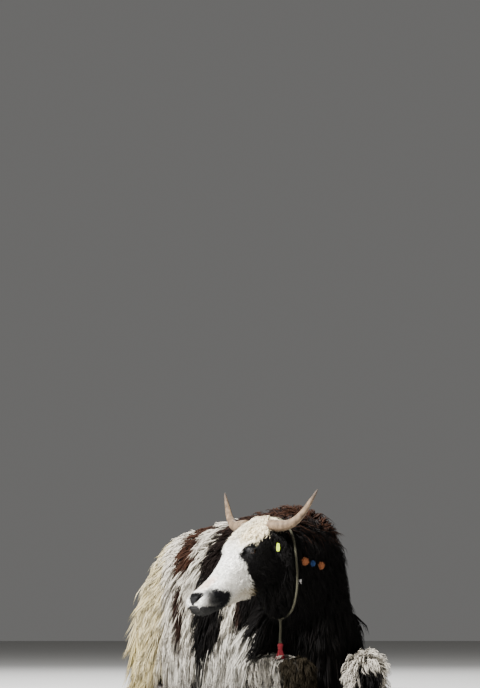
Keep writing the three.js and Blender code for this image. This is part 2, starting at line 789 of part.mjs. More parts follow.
const torsoRoots = [];
const torsoRest = [...upperLegs, ...everyLeg, tail];
for (const [, side] of sides) {
  const row = (low, high, count, angle, style, start, lie = [0.05, 0.2, -1]) => {
    const span = { from: torso.along(low), to: torso.along(high), count, angle, style, start, lie };
    torsoRoots.push(...tier(torso, torsoRest, side, span));
  };
  const single = (y, angle, style, lie) =>
    torsoRoots.push(lockRoot(torso, torsoRest, side, torso.along(y), angle, style, lie));
  row(-200, 900, 8, 5, skirt, 0.5);
  row(-230, 940, 7, 25, flank, 0.3);
  row(-230, 940, 7, 45, flank, 0.6);
  row(-230, 940, 7, 64, back, 0.35, [0.1, 0.3, -1]);
  row(-230, 940, 7, 83, crest, 0.6, [0.8, 0.65, -0.35]);
  for (const angle of [62, 25, -6]) single(984, angle, rump, [0.15, 0.3, -1]);
  for (const angle of [5, -25]) single(-300, angle, chest, [0.1, -0.1, -1]);
}
// Locks on the flat ends of the trunk: x, z and way
for (const [x, z] of [[-52, 500], [52, 470], [-50, 330], [55, 300]]) {
  torsoRoots.push(lockAt(torso, torsoRest, vec(x, 1012, z), vec(0, 1, 0), rump, [0, 0.05, -1]));
}
for (const [x, z] of [[-44, 315], [4, 325], [50, 310], [-24, 190], [28, 185]]) {
  torsoRoots.push(lockAt(torso, torsoRest, vec(x, -338, z), vec(0, -1, 0), chest, [0, -0.05, -1]));
}
growLocks("torso", torsoRoots);

const restOf = (own) => [torso, neck, tail, ...upperLegs, ...everyLeg].filter((loft) => loft !== own);
for (const [name, side] of sides) {
  const fore = legs["foreleg_" + name];
  const hind = legs["hindleg_" + name];
  const rows = (own, from, to, count, angle, style, lie) =>
    tier(own, restOf(own), side, { from, to, count, angle, style, lie });
  growLocks("foreleg_" + name, [
    ...rows(fore[0], 0.05, 0.9, 4, 25, legCoat, [0.25, 0, -1]),
    ...rows(fore[1], 0.15, 0.9, 2, 65, fringe, [0.4, -0.4, -1]),
  ]);
  growLocks("hindleg_" + name, rows(hind[0], 0.1, 0.9, 4, 25, legCoat, [0.15, 0.2, -1]));
}

const neckRoots = [];
const neckRest = [head, ...restOf(neck)];
const neckPlaces = [
  [0.66, [105, 205, 240]],
  [0.48, [110, 150, 190, 230]],
  [0.3, [100, 135, 175, 215]],
];
for (const [t, angles] of neckPlaces) {
  for (const angle of angles) neckRoots.push(lockRoot(neck, neckRest, 1, t, angle, mane, [0, -0.1, -1]));
}
growLocks("neck", neckRoots);

const headRoots = [];
for (const [t, angles] of [[0.16, [60, 90, 120]], [0.25, [45, 75, 105, 135]]]) {
  for (const angle of angles) headRoots.push(lockRoot(head, [neck], 1, t, angle, curl, [-0.75, -0.2, -0.6]));
}
growLocks("head", headRoots);

for (const [name, { solid, colour, roughness }] of nodes) {
  const geometry = geometryOf(largest(solid.subtract(floorCutter)));
  drawApart(geometry);
  geometry.computeVertexNormals();
  const mesh = new THREE.Mesh(geometry, new THREE.MeshStandardMaterial({ color: colour, roughness }));
  mesh.name = name;
  group.add(mesh);
}

export default group;
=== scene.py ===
import math
import bpy
import numpy as np
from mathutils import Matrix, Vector
from mathutils.bvhtree import BVHTree
from mathutils.kdtree import KDTree


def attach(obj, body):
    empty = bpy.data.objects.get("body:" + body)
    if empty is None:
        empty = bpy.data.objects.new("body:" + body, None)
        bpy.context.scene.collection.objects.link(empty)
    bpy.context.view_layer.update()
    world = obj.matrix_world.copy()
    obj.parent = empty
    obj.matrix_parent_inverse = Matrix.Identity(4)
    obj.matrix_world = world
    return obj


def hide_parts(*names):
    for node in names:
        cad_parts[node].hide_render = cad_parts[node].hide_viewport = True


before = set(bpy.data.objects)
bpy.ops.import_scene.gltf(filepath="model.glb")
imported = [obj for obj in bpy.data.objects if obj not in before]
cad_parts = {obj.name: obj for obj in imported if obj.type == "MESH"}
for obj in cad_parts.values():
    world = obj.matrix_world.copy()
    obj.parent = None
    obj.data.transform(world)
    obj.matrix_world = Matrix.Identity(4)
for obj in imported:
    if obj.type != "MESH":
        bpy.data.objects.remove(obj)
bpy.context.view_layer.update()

# A domestic yak lying down, with its head turned to its right, its coat and what it wears.
# The scene is in metres, +Z up; it faces -Y and its right side is -X.
# The rows of shapes and the values of worn things are in millimetres, those of the coat in metres.
mm = 0.001
luck = np.random.default_rng(13)


# camera, floor and light

view = {
    "side": 25,  # degrees round from straight ahead, towards its right
    "distance": 11.5,
    "height": 0.29,
    "pitch": 5.98,
    "aimLeft": 1.04,
    "lens": 141.3,
    "sensor": 36,
    "seesTo": 200,
}

studio = {
    "floorRadius": 45,
    "floorColour": (0.52, 0.515, 0.50),
    "worldColour": (0.88, 0.87, 0.85),
    "worldStrength": 0.17,
    "lightsAim": (-0.1, 0.1, 0.4),
    # place, size and power of each soft light
    "lights": [
        ((-5.4, -2.5, 5.2), 1.3, 3100),
        ((4.6, -4.6, 2.2), 4.2, 60),
        ((2.0, 4.8, 4.8), 2.4, 380),
        ((-5.0, 3.4, 2.6), 3.0, 160),
    ],
}


def pointAt(thing, target):
    way = Vector(target) - thing.location
    thing.rotation_euler = way.to_track_quat("-Z", "Y").to_euler()


def addCamera():
    side = math.radians(view["side"])
    camera = bpy.data.objects.new("camera", bpy.data.cameras.new("camera"))
    place = Vector((-math.sin(side), -math.cos(side), 0)) * view["distance"]
    camera.location = place + Vector((0, 0, view["height"]))
    turn = side - math.radians(view["aimLeft"])
    pitch = math.radians(view["pitch"])
    way = Vector((math.sin(turn) * math.cos(pitch), math.cos(turn) * math.cos(pitch), math.sin(pitch)))
    pointAt(camera, camera.location + way)
    camera.data.lens = view["lens"]
    camera.data.sensor_width = view["sensor"]
    camera.data.clip_end = view["seesTo"]
    bpy.context.scene.collection.objects.link(camera)
    bpy.context.scene.camera = camera


def addLights():
    world = bpy.data.worlds.new("studio")
    world.use_nodes = True
    background = world.node_tree.nodes["Background"]
    background.inputs["Color"].default_value = (*studio["worldColour"], 1)
    background.inputs["Strength"].default_value = studio["worldStrength"]
    bpy.context.scene.world = world
    for number, (place, size, power) in enumerate(studio["lights"]):
        lamp = bpy.data.lights.new(f"softbox{number}", "AREA")
        lamp.size = size
        lamp.energy = power
        thing = bpy.data.objects.new(f"softbox{number}", lamp)
        thing.location = place
        bpy.context.scene.collection.objects.link(thing)
        pointAt(thing, studio["lightsAim"])


# small mathematics

def unit(vectors):
    return vectors / np.maximum(np.linalg.norm(vectors, axis=-1, keepdims=True), 1e-9)


def dot(a, b):
    return np.sum(a * b, axis=-1, keepdims=True)


# from 0 at low to 1 at high, smoothly
def ramp(value, low, high):
    share = np.clip((value - low) / (high - low), 0, 1)
    return share * share * (3 - 2 * share)


def turned(vector, axis, degrees):
    angle = math.radians(degrees)
    along = axis * np.dot(axis, vector) * (1 - math.cos(angle))
    return vector * math.cos(angle) + np.cross(axis, vector) * math.sin(angle) + along


def circle(count):
    return np.linspace(0, 2 * math.pi, count, endpoint=False)


# a smooth curve through rows, by its share of the way
def curveAt(rows, share):
    rows = np.asarray(rows, float)
    last = len(rows) - 1
    steps = np.clip(np.asarray(share, float), 0, 1) * last
    start = np.minimum(steps.astype(int), last - 1)
    t = (steps - start)[..., None]
    padded = np.vstack([2 * rows[0] - rows[1], rows, 2 * rows[-1] - rows[-2]])
    before, a, b, after = (padded[start + k] for k in range(4))
    leaving = (b - before) / 2
    arriving = (after - a) / 2
    square, cube = t**2, t**3
    return (
        (2 * cube - 3 * square + 1) * a
        + (cube - 2 * square + t) * leaving
        + (3 * square - 2 * cube) * b
        + (cube - square) * arriving
    )


# rings of points with a pole at each end, as vertices and faces
def closedRings(rings, startPole, endPole):
    count, sides = rings.shape[:2]
    verts = np.vstack([rings.reshape(-1, 3), startPole, endPole])
    faces = []
    for j in range(sides):
        k = (j + 1) % sides
        faces.append((count * sides, j, k))
        faces.append((count * sides + 1, (count - 1) * sides + k, (count - 1) * sides + j))
        for i in range(count - 1):
            faces.append((i * sides + j, (i + 1) * sides + j, (i + 1) * sides + k, i * sides + k))
    return verts, faces


def joined(parts):
    verts, faces, start = [], [], 0
    for partVerts, partFaces in parts:
        verts.append(partVerts)
        faces.extend(tuple(corner + start for corner in face) for face in partFaces)
        start += len(partVerts)
    return np.vstack(verts), faces


# a rounded body of rings along a curve; each row has a centre and half sizes across, up and down
class Loft:
    def __init__(self, rows, upward=(0, 0, 1), bulge=2.2, ahead=None, cap=6):
        rows = np.asarray(rows, float) * mm
        self.centres = rows[:, :3]
        self.sizes = rows[:, 3:]
        self.upward = np.asarray(upward, float)
        self.bulge = bulge
        self.ahead = ahead
        self.cap = cap * mm

    def frames(self, share):
        share = np.asarray(share, float)
        centre = curveAt(self.centres, share)
        size = curveAt(self.sizes, share)
        if self.ahead is None:
            forward = unit(curveAt(self.centres, share + 1e-3) - curveAt(self.centres, share - 1e-3))
        else:
            forward = np.broadcast_to(np.asarray(self.ahead, float), centre.shape)
        across = unit(np.cross(forward, self.upward))
        return centre, size, forward, across, np.cross(across, forward)

    def rings(self, count, sides, grow=0):
        share = np.linspace(0, 1, count)
        centre, size, forward, across, up = self.frames(share)
        angle = circle(sides)[None, :, None]
        height = np.where(np.sin(angle) > 0, size[:, None, 1:2], size[:, None, 2:3])
        power = 2 / self.bulge
        out = (size[:, None, 0:1] + grow) * np.sign(np.cos(angle)) * np.abs(np.cos(angle)) ** power
        rise = (height + grow) * np.sign(np.sin(angle)) * np.abs(np.sin(angle)) ** power
        rings = centre[:, None] + across[:, None] * out + up[:, None] * rise
        cap = self.cap + grow
        return rings, centre[0] - forward[0] * cap, centre[-1] + forward[-1] * cap

    def mesh(self, count=40, sides=40, grow=0):
        return closedRings(*self.rings(count, sides, grow))

    # rough distance of places outside the surface, for telling which part a place is on
    def distance(self, places):
        stations = 25
        centre, size, forward, across, up = self.frames(np.linspace(0, 1, stations))
        gaps = np.linalg.norm(places[:, None] - centre[None], axis=2)
        near = np.argmin(gaps, axis=1)
        local = places - centre[near]
        a, b, c = (np.sum(local * way[near], axis=1) for way in (across, up, forward))
        height = np.where(b > 0, size[near, 1], size[near, 2])
        powers = np.abs(a / size[near, 0]) ** self.bulge + np.abs(b / height) ** self.bulge
        share = powers ** (1 / self.bulge)
        side = np.hypot(a, b) * (1 - 1 / np.maximum(share, 0.05))
        beyond = np.where(near == 0, -c, np.where(near == stations - 1, c, 0))
        return np.maximum(side, beyond)


def ellipsoid(centre, radii, axes=None, rings=20, sides=28):
    axes = np.eye(3) if axes is None else axes
    polar = np.linspace(0, math.pi, rings + 2)[1:-1]
    around = circle(sides)
    unitRings = np.stack(
        [
            np.outer(np.sin(polar), np.cos(around)),
            np.outer(np.sin(polar), np.sin(around)),
            np.outer(np.cos(polar), np.ones(sides)),
        ],
        axis=2,
    )[::-1]
    scaled = (unitRings * np.asarray(radii)) @ axes
    poles = [np.array([0, 0, end * radii[2]]) @ axes + centre for end in (-1, 1)]
    return closedRings(scaled + centre, *poles)


# the way that a path runs at each of its points
def tangentsOf(path, closed=False):
    if closed:
        return unit(np.roll(path, -1, axis=0) - np.roll(path, 1, axis=0))
    return unit(np.gradient(path, axis=0))


# a tube along a path, with a radius at each point
def tube(path, radii, sides=10, closed=False):
    path = np.asarray(path, float)
    radii = np.broadcast_to(radii, len(path))
    tangents = tangentsOf(path, closed)
    askew = [0.31, 0.2, 0.93]  # a way that no path here runs
    normal = unit(np.cross(tangents[0], askew))
    normals = []
    for tangent in tangents:
        normal = unit(normal - tangent * np.dot(normal, tangent))
        normals.append(normal)
    normals = np.array(normals)
    sideways = np.cross(tangents, normals)
    if closed:  # turned a little at each step, so that the last ring meets the first
        first, last = normals[0], normals[-1]
        slip = math.atan2(np.dot(last, sideways[0]), np.dot(last, first))
        back = -slip * np.arange(len(path)) / (len(path) - 1)
        normals, sideways = (
            normals * np.cos(back)[:, None] + sideways * np.sin(back)[:, None],
            sideways * np.cos(back)[:, None] - normals * np.sin(back)[:, None],
        )
    angle = circle(sides)[None, :, None]
    spokes = normals[:, None] * np.cos(angle) + sideways[:, None] * np.sin(angle)
    rings = path[:, None] + spokes * radii[:, None, None]
    if not closed:
        return closedRings(rings[:, ::-1], path[0], path[-1])
    count = len(path)
    faces = []
    for i in range(count):
        for j in range(sides):
            k, n = (j + 1) % sides, (i + 1) % count
            faces.append((i * sides + j, i * sides + k, n * sides + k, n * sides + j))
    return rings.reshape(-1, 3), faces


def bareMesh(name, verts, faces):
    mesh = bpy.data.meshes.new(name)
    mesh.from_pydata(np.asarray(verts).tolist(), [], faces)
    mesh.update()
    return mesh


def readValues(collection, name, each, kind=float):
    values = np.empty(len(collection) * each, kind)
    collection.foreach_get(name, values)
    return values.reshape(-1, each)


# a number or a colour for each point of a mesh, which its finish reads by name
def setValues(mesh, name, values):
    kind, field = ("FLOAT", "value") if np.ndim(values) == 1 else ("FLOAT_COLOR", "color")
    mesh.attributes.new(name, kind, "POINT").data.foreach_set(field, np.ravel(values))


def addPiece(name, mesh, material, replaces=()):
    piece = bpy.data.objects.new(name, mesh)
    bpy.context.scene.collection.objects.link(piece)
    mesh.materials.append(material)
    mesh.shade_smooth()
    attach(piece, "root")
    if replaces:
        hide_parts(*replaces)
    return piece


# a piece that stands for the node of its own name
def addOwnPiece(name, parts, finish, slot):
    addPiece(name, bareMesh(name, *joined(parts)), finishes[finish], [name])


# shape of the body

torsoRows = [  # y, top, level of the widest place, half width, bottom
    (-347, 345, 250, 22, 185),
    (-338, 440, 250, 58, 110),
    (-305, 585, 245, 126, 20),
    (-240, 700, 240, 162, -12),
    (-150, 768, 240, 186, -15),
    (-50, 780, 245, 203, -15),
    (60, 770, 250, 232, -15),
    (200, 757, 250, 285, -15),
    (380, 745, 250, 332, -15),
    (560, 728, 255, 346, -15),
    (720, 716, 265, 335, -15),
    (840, 708, 280, 308, -10),
    (920, 688, 300, 268, 0),
    (975, 640, 320, 208, 40),
    (1008, 545, 330, 120, 150),
    (1020, 430, 328, 44, 235),
]

neckRows = [  # x, y, z, half width, up, down
    (20, -60, 480, 140, 190, 200),
    (-20, -170, 515, 145, 195, 230),
    (-90, -255, 560, 128, 165, 240),
    (-175, -315, 605, 110, 132, 225),
    (-250, -345, 640, 95, 94, 190),
    (-300, -352, 655, 74, 62, 130),
]

# forward of the poll, top line, half heights above and below the widest place, half width
headRows = [
    (-58, -45, 40, 48, 45),
    (-35, -10, 68, 84, 86),
    (10, 6, 80, 112, 102),
    (60, 15, 85, 134, 107),
    (110, 15, 82, 146, 107),
    (160, 5, 76, 142, 101),
    (215, -8, 68, 126, 86),
    (275, -17, 60, 108, 71),
    (335, -20, 54, 88, 61),
    (385, -17, 50, 74, 60),
    (425, -13, 48, 62, 64),
    (455, -14, 44, 54, 62),
    (476, -32, 30, 36, 46),
]

hornRows = [  # from the middle of the poll: outward, up, back, radius
    (75, -18, 4, 24),
    (122, -20, 6, 23.5),
    (160, -19, 15, 20.5),
    (196, -5, 25, 17.5),
    (232, 27, 39, 14),
    (264, 74, 53, 9.5),
    (296, 125, 66, 3.3),
]

earRows = [  # outward, up, back, half width, half thickness
    (82, -54, -14, 15, 11),
    (112, -76, -10, 25, 13),
    (140, -104, -4, 33, 14),
    (168, -140, 4, 27, 11),
    (190, -176, 12, 9, 5),
]

limbRows = {  # left side: x, y, z, half width, up, down
    "shoulder": [
        (115, -215, 340, 60, 80, 80),
        (155, -165, 275, 82, 88, 88),
        (192, -100, 200, 80, 82, 82),
        (215, -45, 142, 60, 64, 64),
    ],
    "thigh": [
        (150, 840, 470, 80, 90, 90),
        (205, 785, 415, 118, 130, 130),
        (242, 700, 325, 122, 140, 140),
        (275, 600, 225, 92, 112, 112),
        (285, 545, 175, 62, 80, 80),
    ],
    "forearm": [
        (218, -20, 124, 50, 56, 56),
        (212, -110, 124, 60, 60, 58),
        (190, -240, 116, 54, 54, 50),
        (165, -370, 112, 50, 52, 48),
        (153, -440, 105, 46, 48, 48),
    ],
    "knee": [
        (152, -375, 84, 46, 62, 62),
        (150, -430, 82, 56, 84, 84),
        (149, -470, 78, 42, 60, 62),
    ],
    "foreCannon": [
        (152, -440, 38, 34, 36, 42),
        (172, -330, 36, 31, 32, 38),
        (192, -230, 36, 31, 32, 38),
        (202, -172, 36, 33, 34, 40),
    ],
    "shank": [
        (285, 560, 165, 66, 76, 70),
        (288, 660, 140, 66, 72, 62),
        (286, 790, 112, 52, 54, 52),
        (282, 885, 96, 42, 46, 48),
    ],
    "hock": [
        (284, 850, 80, 40, 50, 60),
        (280, 905, 84, 42, 52, 66),
        (276, 945, 92, 26, 32, 34),
    ],
    "hindCannon": [
        (290, 890, 44, 34, 36, 48),
        (312, 800, 38, 31, 33, 42),
        (326, 700, 36, 31, 32, 38),
        (328, 645, 36, 33, 34, 40),
    ],
}
foreParts = ("forearm", "knee", "foreCannon")
hindParts = ("shank", "hock", "hindCannon")

tailRows = [  # x, y, z, half width, up, down
    (0, 950, 610, 30, 28, 28),
    (-60, 1000, 608, 31, 26, 26),
    (-138, 1026, 560, 34, 24, 24),
    (-206, 1038, 450, 40, 22, 24),
    (-242, 1028, 310, 46, 22, 24),
    (-254, 1012, 170, 48, 20, 22),
    (-260, 1000, 70, 46, 18, 20),
    (-260, 996, 24, 40, 14, 16),
]

headPose = {"poll": (-304, -350, 720), "heading": 75, "pitch": 41, "roll": 1}
poll = np.array(headPose["poll"]) * mm
turn, pitch = math.radians(headPose["heading"]), math.radians(headPose["pitch"])
heading = np.array([-math.sin(turn), -math.cos(turn), 0])
levelLeft = np.array([math.cos(turn), -math.sin(turn), 0])
headForward = heading * math.cos(pitch) - np.array([0, 0, math.sin(pitch)])
headLeft = turned(levelLeft, headForward, -headPose["roll"])
headUp = np.cross(headForward, headLeft)
headAxes = np.array([headLeft, -headForward, headUp])


# a place on the head: forward of the poll, to the left, and above the line from poll to nose
def headPlace(forward, left, above):
    return poll + (headForward * forward + headLeft * left + headUp * above) * mm


def headLocal(places):
    local = (places - poll) / mm
    return local @ headForward, local @ headLeft, local @ headUp


def crownPlace(side, outward, above, back):
    return poll + (headLeft * side * outward - heading * back + np.array([0, 0, above])) * mm


def mirrored(rows, side):
    return [(side * row[0], *row[1:]) for row in rows]


# an ear, or the hollow that is cut into its front
def earLoft(side, hollow=False):
    rows = []
    for out, above, back, half, thick in earRows[1:] if hollow else earRows:
        if hollow:
            place = crownPlace(side, out + 2, above, back - thick * 0.85)
            sizes = (half - 5, thick, thick)
        else:
            place = crownPlace(side, out, above, back)
            sizes = (half, thick * 0.5, thick)
        rows.append((*(place / mm), *sizes))
    return Loft(rows, upward=heading, cap=0.5 if hollow else 5)


torso = Loft(
    [(0, y, widest, half, top - widest, widest - bottom) for y, top, widest, half, bottom in torsoRows],
    bulge=2.45,
    ahead=(0, 1, 0),
    cap=10,
)
neck = Loft(neckRows)
head = Loft(
    [(*(headPlace(along, 0, top - up) / mm), half, up, down) for along, top, up, down, half in headRows],
    upward=headUp,
    bulge=2.3,
    ahead=headForward,
)
tail = Loft(tailRows, upward=(0.45, 0.9, 0.2))
sides = {"left": 1, "right": -1}
limbs = {
    (part, name): Loft(mirrored(rows, side), cap=22)
    for part, rows in limbRows.items()
    for name, side in sides.items()
}
ears = {name: earLoft(side) for name, side in sides.items()}

face = {
    "eyeAlong": 156,
    "eyeOut": 73,
    "eyeBelow": -30,
    "eyeRadius": 21,
    "socketGap": 0.5,
    "lid": 3.6,
    "mouthLine": ([360, 400, 436, 465, 480], [-110, -101, -82, -56, -45]),  # forward of the poll, and level
    "mouthCorner": 384,
    # swellings: forward, left, above, and half sizes across, along and up
    "chin": ((428, 0, -93), (31, 38, 20)),
    "brow": ((135, 60, -14), (32, 52, 20)),
    "cheek": ((115, 74, -120), (32, 84, 78)),
    "nostrilWing": ((450, 33, -42), (22, 28, 22)),
    "nosePad": ((462, 0, -40), (30, 18, 20)),
    "upperLip": ((446, 36, -58), (26, 34, 16)),
    "cheekBone": ((215, 62, -52), (20, 60, 14)),
}


def eyeCentre(side):
    return headPlace(face["eyeAlong"], side * face["eyeOut"], face["eyeBelow"])


def swelling(name, side=1, grow=0.0):
    (forward, left, above), radii = face[name]
    return ellipsoid(headPlace(forward, side * left, above), np.array(radii) * mm + grow, headAxes)


# opening between the lids, with its front corner lower by the tilt in degrees
opening = {"half": 19.5, "height": 10.5, "tilt": 8, "lower": 1, "cuts": (8, 16, 24, 34)}

nostrilRows = [  # forward, left, above, half width, up, down
    (484, 15, -38, 6, 7, 7),
    (468, 24, -32, 8.5, 9, 10),
    (450, 33, -25, 7, 8, 10),
    (433, 39, -19, 4, 4, 5),
]

lips = {
    "grooveHalf": 3.0,
    "grooveDepth": 6.5,
    "swellAt": 9,
    "swellHalf": 5,
    "swell": 2.2,
    "cornerFade": 18,
    "reach": 40,
    "middle": (400, 0, -70),
}

# how far the skin lies inside the rows, for the coat to lie on it
skinDepth = {
    "torso": -12 * mm,
    "neck": -4 * mm,
    "tail": -9 * mm,
    "limbs": -4 * mm,
    "head": -3 * mm,
    "ear": -1 * mm,
}
skinShape = {"voxel": 3.6 * mm, "smoothing": 5, "bodyTriangles": 26000, "floor": 4 * mm}


def bodyParts():
    parts = [torso.mesh(90, 64, skinDepth["torso"]), neck.mesh(40, 48, skinDepth["neck"])]
    parts.append(tail.mesh(50, 24, skinDepth["tail"]))
    for (part, _), limb in limbs.items():
        depth = skinDepth["torso"] if part in ("shoulder", "thigh") else skinDepth["limbs"]
        parts.append(limb.mesh(30, 28, depth))
    parts.append(head.mesh(90, 64, skinDepth["head"]))
    for name in ("chin", "nosePad"):
        parts.append(swelling(name, 1, skinDepth["head"]))
    for side in sides.values():
        for name in ("brow", "cheek", "nostrilWing", "upperLip", "cheekBone"):
            parts.append(swelling(name, side, skinDepth["head"]))
        lidRadius = (face["eyeRadius"] + face["lid"]) * mm
        parts.append(ellipsoid(eyeCentre(side), [lidRadius] * 3, headAxes))
    return parts


def applied(piece):
    graph = bpy.context.evaluated_depsgraph_get()
    mesh = bpy.data.meshes.new_from_object(piece.evaluated_get(graph))
    piece.modifiers.clear()
    old = piece.data
    piece.data = mesh
    bpy.data.meshes.remove(old)


def scratchObject(name, verts, faces):
    piece = bpy.data.objects.new(name, bareMesh(name, verts, faces))
    bpy.context.scene.collection.objects.link(piece)
    return piece


def combineWith(piece, other, operation):
    change = piece.modifiers.new("combine", "BOOLEAN")
    change.operation = operation
    change.solver = "MANIFOLD"
    change.object = other
    applied(piece)
    bpy.data.objects.remove(other)


def cutWith(piece, verts, faces):
    combineWith(piece, scratchObject("cutter", verts, faces), "DIFFERENCE")


# almond opening of an eye, cut from outside, with its corners along the head
def almond(side):
    out = headLeft * side
    along = turned(headForward, out, -side * opening["tilt"])
    rows = []
    for outward in opening["cuts"]:
        place = eyeCentre(side) + out * outward * mm - headUp * opening["lower"] * mm
        rows.append((*(place / mm), opening["half"], opening["height"], opening["height"]))
    loft = Loft(rows, upward=np.cross(along, out) * side, bulge=1.45, cap=2)
    return loft.mesh(6, 40)


def eyeSockets():
    radius = (face["eyeRadius"] + face["socketGap"]) * mm
    return [ellipsoid(eyeCentre(side), [radius] * 3, headAxes, 30, 40) for side in sides.values()]


def nostril(side):
    rows = []
    for forward, left, above, *sizes in nostrilRows:
        rows.append((*(headPlace(forward, side * left, above) / mm), *sizes))
    return Loft(rows, upward=headUp, cap=3).mesh(14, 20)


# how far above the mouth line a place on the head is
def aboveMouth(along, above):
    return above - np.interp(along, *face["mouthLine"])


# draws the lips in at the mouth line and rounds them beside it, and tells how near the line a place is
def shapeMouth(verts):
    along, _, above = headLocal(verts)
    gap = aboveMouth(along, above)
    corner = face["mouthCorner"]
    reach = ramp(along, corner, corner + lips["cornerFade"]) * (np.abs(gap) < lips["reach"])
    groove = np.exp(-((gap / lips["grooveHalf"]) ** 2)) * lips["grooveDepth"]
    swell = np.exp(-(((np.abs(gap) - lips["swellAt"]) / lips["swellHalf"]) ** 2)) * lips["swell"]
    out = verts - headPlace(*lips["middle"])
    way = unit(out - out @ headForward[:, None] * headForward * 0.5)
    return verts - way * ((groove - swell) * reach * mm)[:, None], np.exp(-((gap / 5.0) ** 2)) * reach


regionNames = (
    "torso", "neck", "head", "tail", "foreRight", "foreLeft", "hindRight", "hindLeft", "earLeft", "earRight",
)


# the part of the body that each place is nearest to
def regionOf(places):
    jaws = [headPlace(105, side * 70, -115) for side in (-1, 1)]
    gaps = {
        "torso": [torso.distance(places) + 2 * mm],
        "neck": [neck.distance(places) + 3 * mm],
        "head": [head.distance(places)] + [np.linalg.norm(places - jaw, axis=1) - 80 * mm for jaw in jaws],
        "tail": [tail.distance(places)],
    }
    for (part, name), limb in limbs.items():
        if part in foreParts:
            gaps.setdefault("fore" + name.capitalize(), []).append(limb.distance(places))
        elif part in hindParts:
            gaps.setdefault("hind" + name.capitalize(), []).append(limb.distance(places))
        else:
            gaps["torso"].append(limb.distance(places) + 4 * mm)
    for name, ear in ears.items():
        gaps["ear" + name.capitalize()] = [ear.distance(places) - 3 * mm]
    least = np.array([np.min(gaps[name], axis=0) for name in regionNames])
    return np.array(regionNames)[np.argmin(least, axis=0)]


# all parts of the body melted into one smooth skin
def meltedBody():
    skin = scratchObject("skin", *joined(bodyParts()))
    remesh = skin.modifiers.new("remesh", "REMESH")
    remesh.mode = "VOXEL"
    remesh.voxel_size = skinShape["voxel"]
    smooth = skin.modifiers.new("smooth", "SMOOTH")
    smooth.factor = 0.5
    smooth.iterations = skinShape["smoothing"]
    applied(skin)
    verts = readValues(skin.data.vertices, "co", 3)
    verts[:, 2] = np.maximum(verts[:, 2], skinShape["floor"])
    verts, _ = shapeMouth(verts)
    skin.data.vertices.foreach_set("co", verts.ravel())
    skin.data.update()
    return skin, verts


# larger triangles everywhere but on the head
def thinSkin(skin, verts):
    along, left, above = headLocal(verts)
    fine = (along > -90) & (along < 520) & (np.abs(left) < 230) & (above > -220) & (above < 80)
    group = skin.vertex_groups.new(name="coarse")
    group.add(np.flatnonzero(~fine).tolist(), 1.0, "REPLACE")
    faceCount = len(skin.data.polygons) * 2
    fineShare = np.count_nonzero(fine) / len(verts)
    thin = skin.modifiers.new("thin", "DECIMATE")
    thin.ratio = fineShare + skinShape["bodyTriangles"] / faceCount
    thin.vertex_group = "coarse"
    applied(skin)


def makeSkin():
    skin, verts = meltedBody()
    thinSkin(skin, verts)
    cutWith(skin, *joined(eyeSockets()))
    for side in sides.values():
        cutWith(skin, *almond(side))
        cutWith(skin, *nostril(side))
    for name, side in sides.items():
        ear = scratchObject("ear", *ears[name].mesh(30, 32, skinDepth["ear"]))
        cutWith(ear, *earLoft(side, True).mesh(24, 28))
        combineWith(skin, ear, "UNION")
    return skin


def unwrapSkin(skin):
    bpy.context.view_layer.objects.active = skin
    skin.select_set(True)
    bpy.ops.object.mode_set(mode="EDIT")
    bpy.ops.mesh.select_all(action="SELECT")
    bpy.ops.uv.smart_project(angle_limit=math.radians(60), island_margin=0.003)
    bpy.ops.object.mode_set(mode="OBJECT")
    skin.select_set(False)
    skin.data.uv_layers[0].name = "OFBake"


# markings of skin and coat, with some painted shade, as linear colours

paint = {
    "black": (0.0036, 0.0031, 0.0029),
    "softBlack": (0.0080, 0.0060, 0.0052),
    "brown": (0.033, 0.0145, 0.0082),
    "darkBrown": (0.016, 0.0076, 0.005),
    "white": (0.47, 0.43, 0.36),
    "faceWhite": (0.93, 0.91, 0.85),
    "creamWhite": (0.80, 0.72, 0.55),
    "creamWool": (0.93, 0.80, 0.54),
    # painted shade: a greyer copy of the face white, for the side of the face
    "cheekShadeWhite": (0.58, 0.55, 0.49),
    "grey": (0.36, 0.34, 0.30),
    "cream": (0.42, 0.345, 0.165),
    "ochre": (0.24, 0.175, 0.07),
    "pink": (0.80, 0.58, 0.44),
    # painted shade: the dark olive of the right knee where it lies in deep shade
    "kneeShadeOlive": (0.012, 0.009, 0.005),
    "muzzle": (0.0055, 0.0053, 0.0064),
    "nose": (0.0032, 0.0030, 0.0032),
}
paint = {name: np.array(colour) for name, colour in paint.items()}

# edges of the stripes on its right side: height, then the place along the body, in millimetres
stripes = {
    "blackWhite": (
        [0, 60, 147, 212, 320, 492, 579, 665, 710, 770],
        [360, 345, 284, 299, 292, 288, 299, 285, 331, 350],
    ),
    "whiteBrown": ([515, 580, 624, 669, 705, 750], [372, 373, 394, 417, 445, 475]),
    "brownWhite": ([515, 561, 606, 651, 690, 750], [512, 516, 551, 576, 653, 745]),
    "bandFront": ([212, 277, 341, 407, 468], [366, 348, 377, 391, 419]),
    "bandRear": ([211, 276, 342, 407, 469], [432, 417, 445, 454, 478]),
    "cream": ([55, 145, 233, 320, 408, 497, 588, 700], [590, 557, 536, 541, 557, 610, 728, 850]),
    "elbowRear": ([34, 83, 148, 187, 213, 234, 264], [313, 276, 236, 179, 130, 95, 94]),
    "elbowFront": ([70, 133, 165, 194, 244, 268], [-370, -330, -225, -166, -148, -80]),
}


def edge(name, level):
    return np.interp(level, *stripes[name])


def allOver(colour, places):
    return np.tile(paint[colour], (len(places), 1))


def over(base, colour, share):
    return base + (paint[colour] - base) * np.clip(share, 0, 1)[:, None]


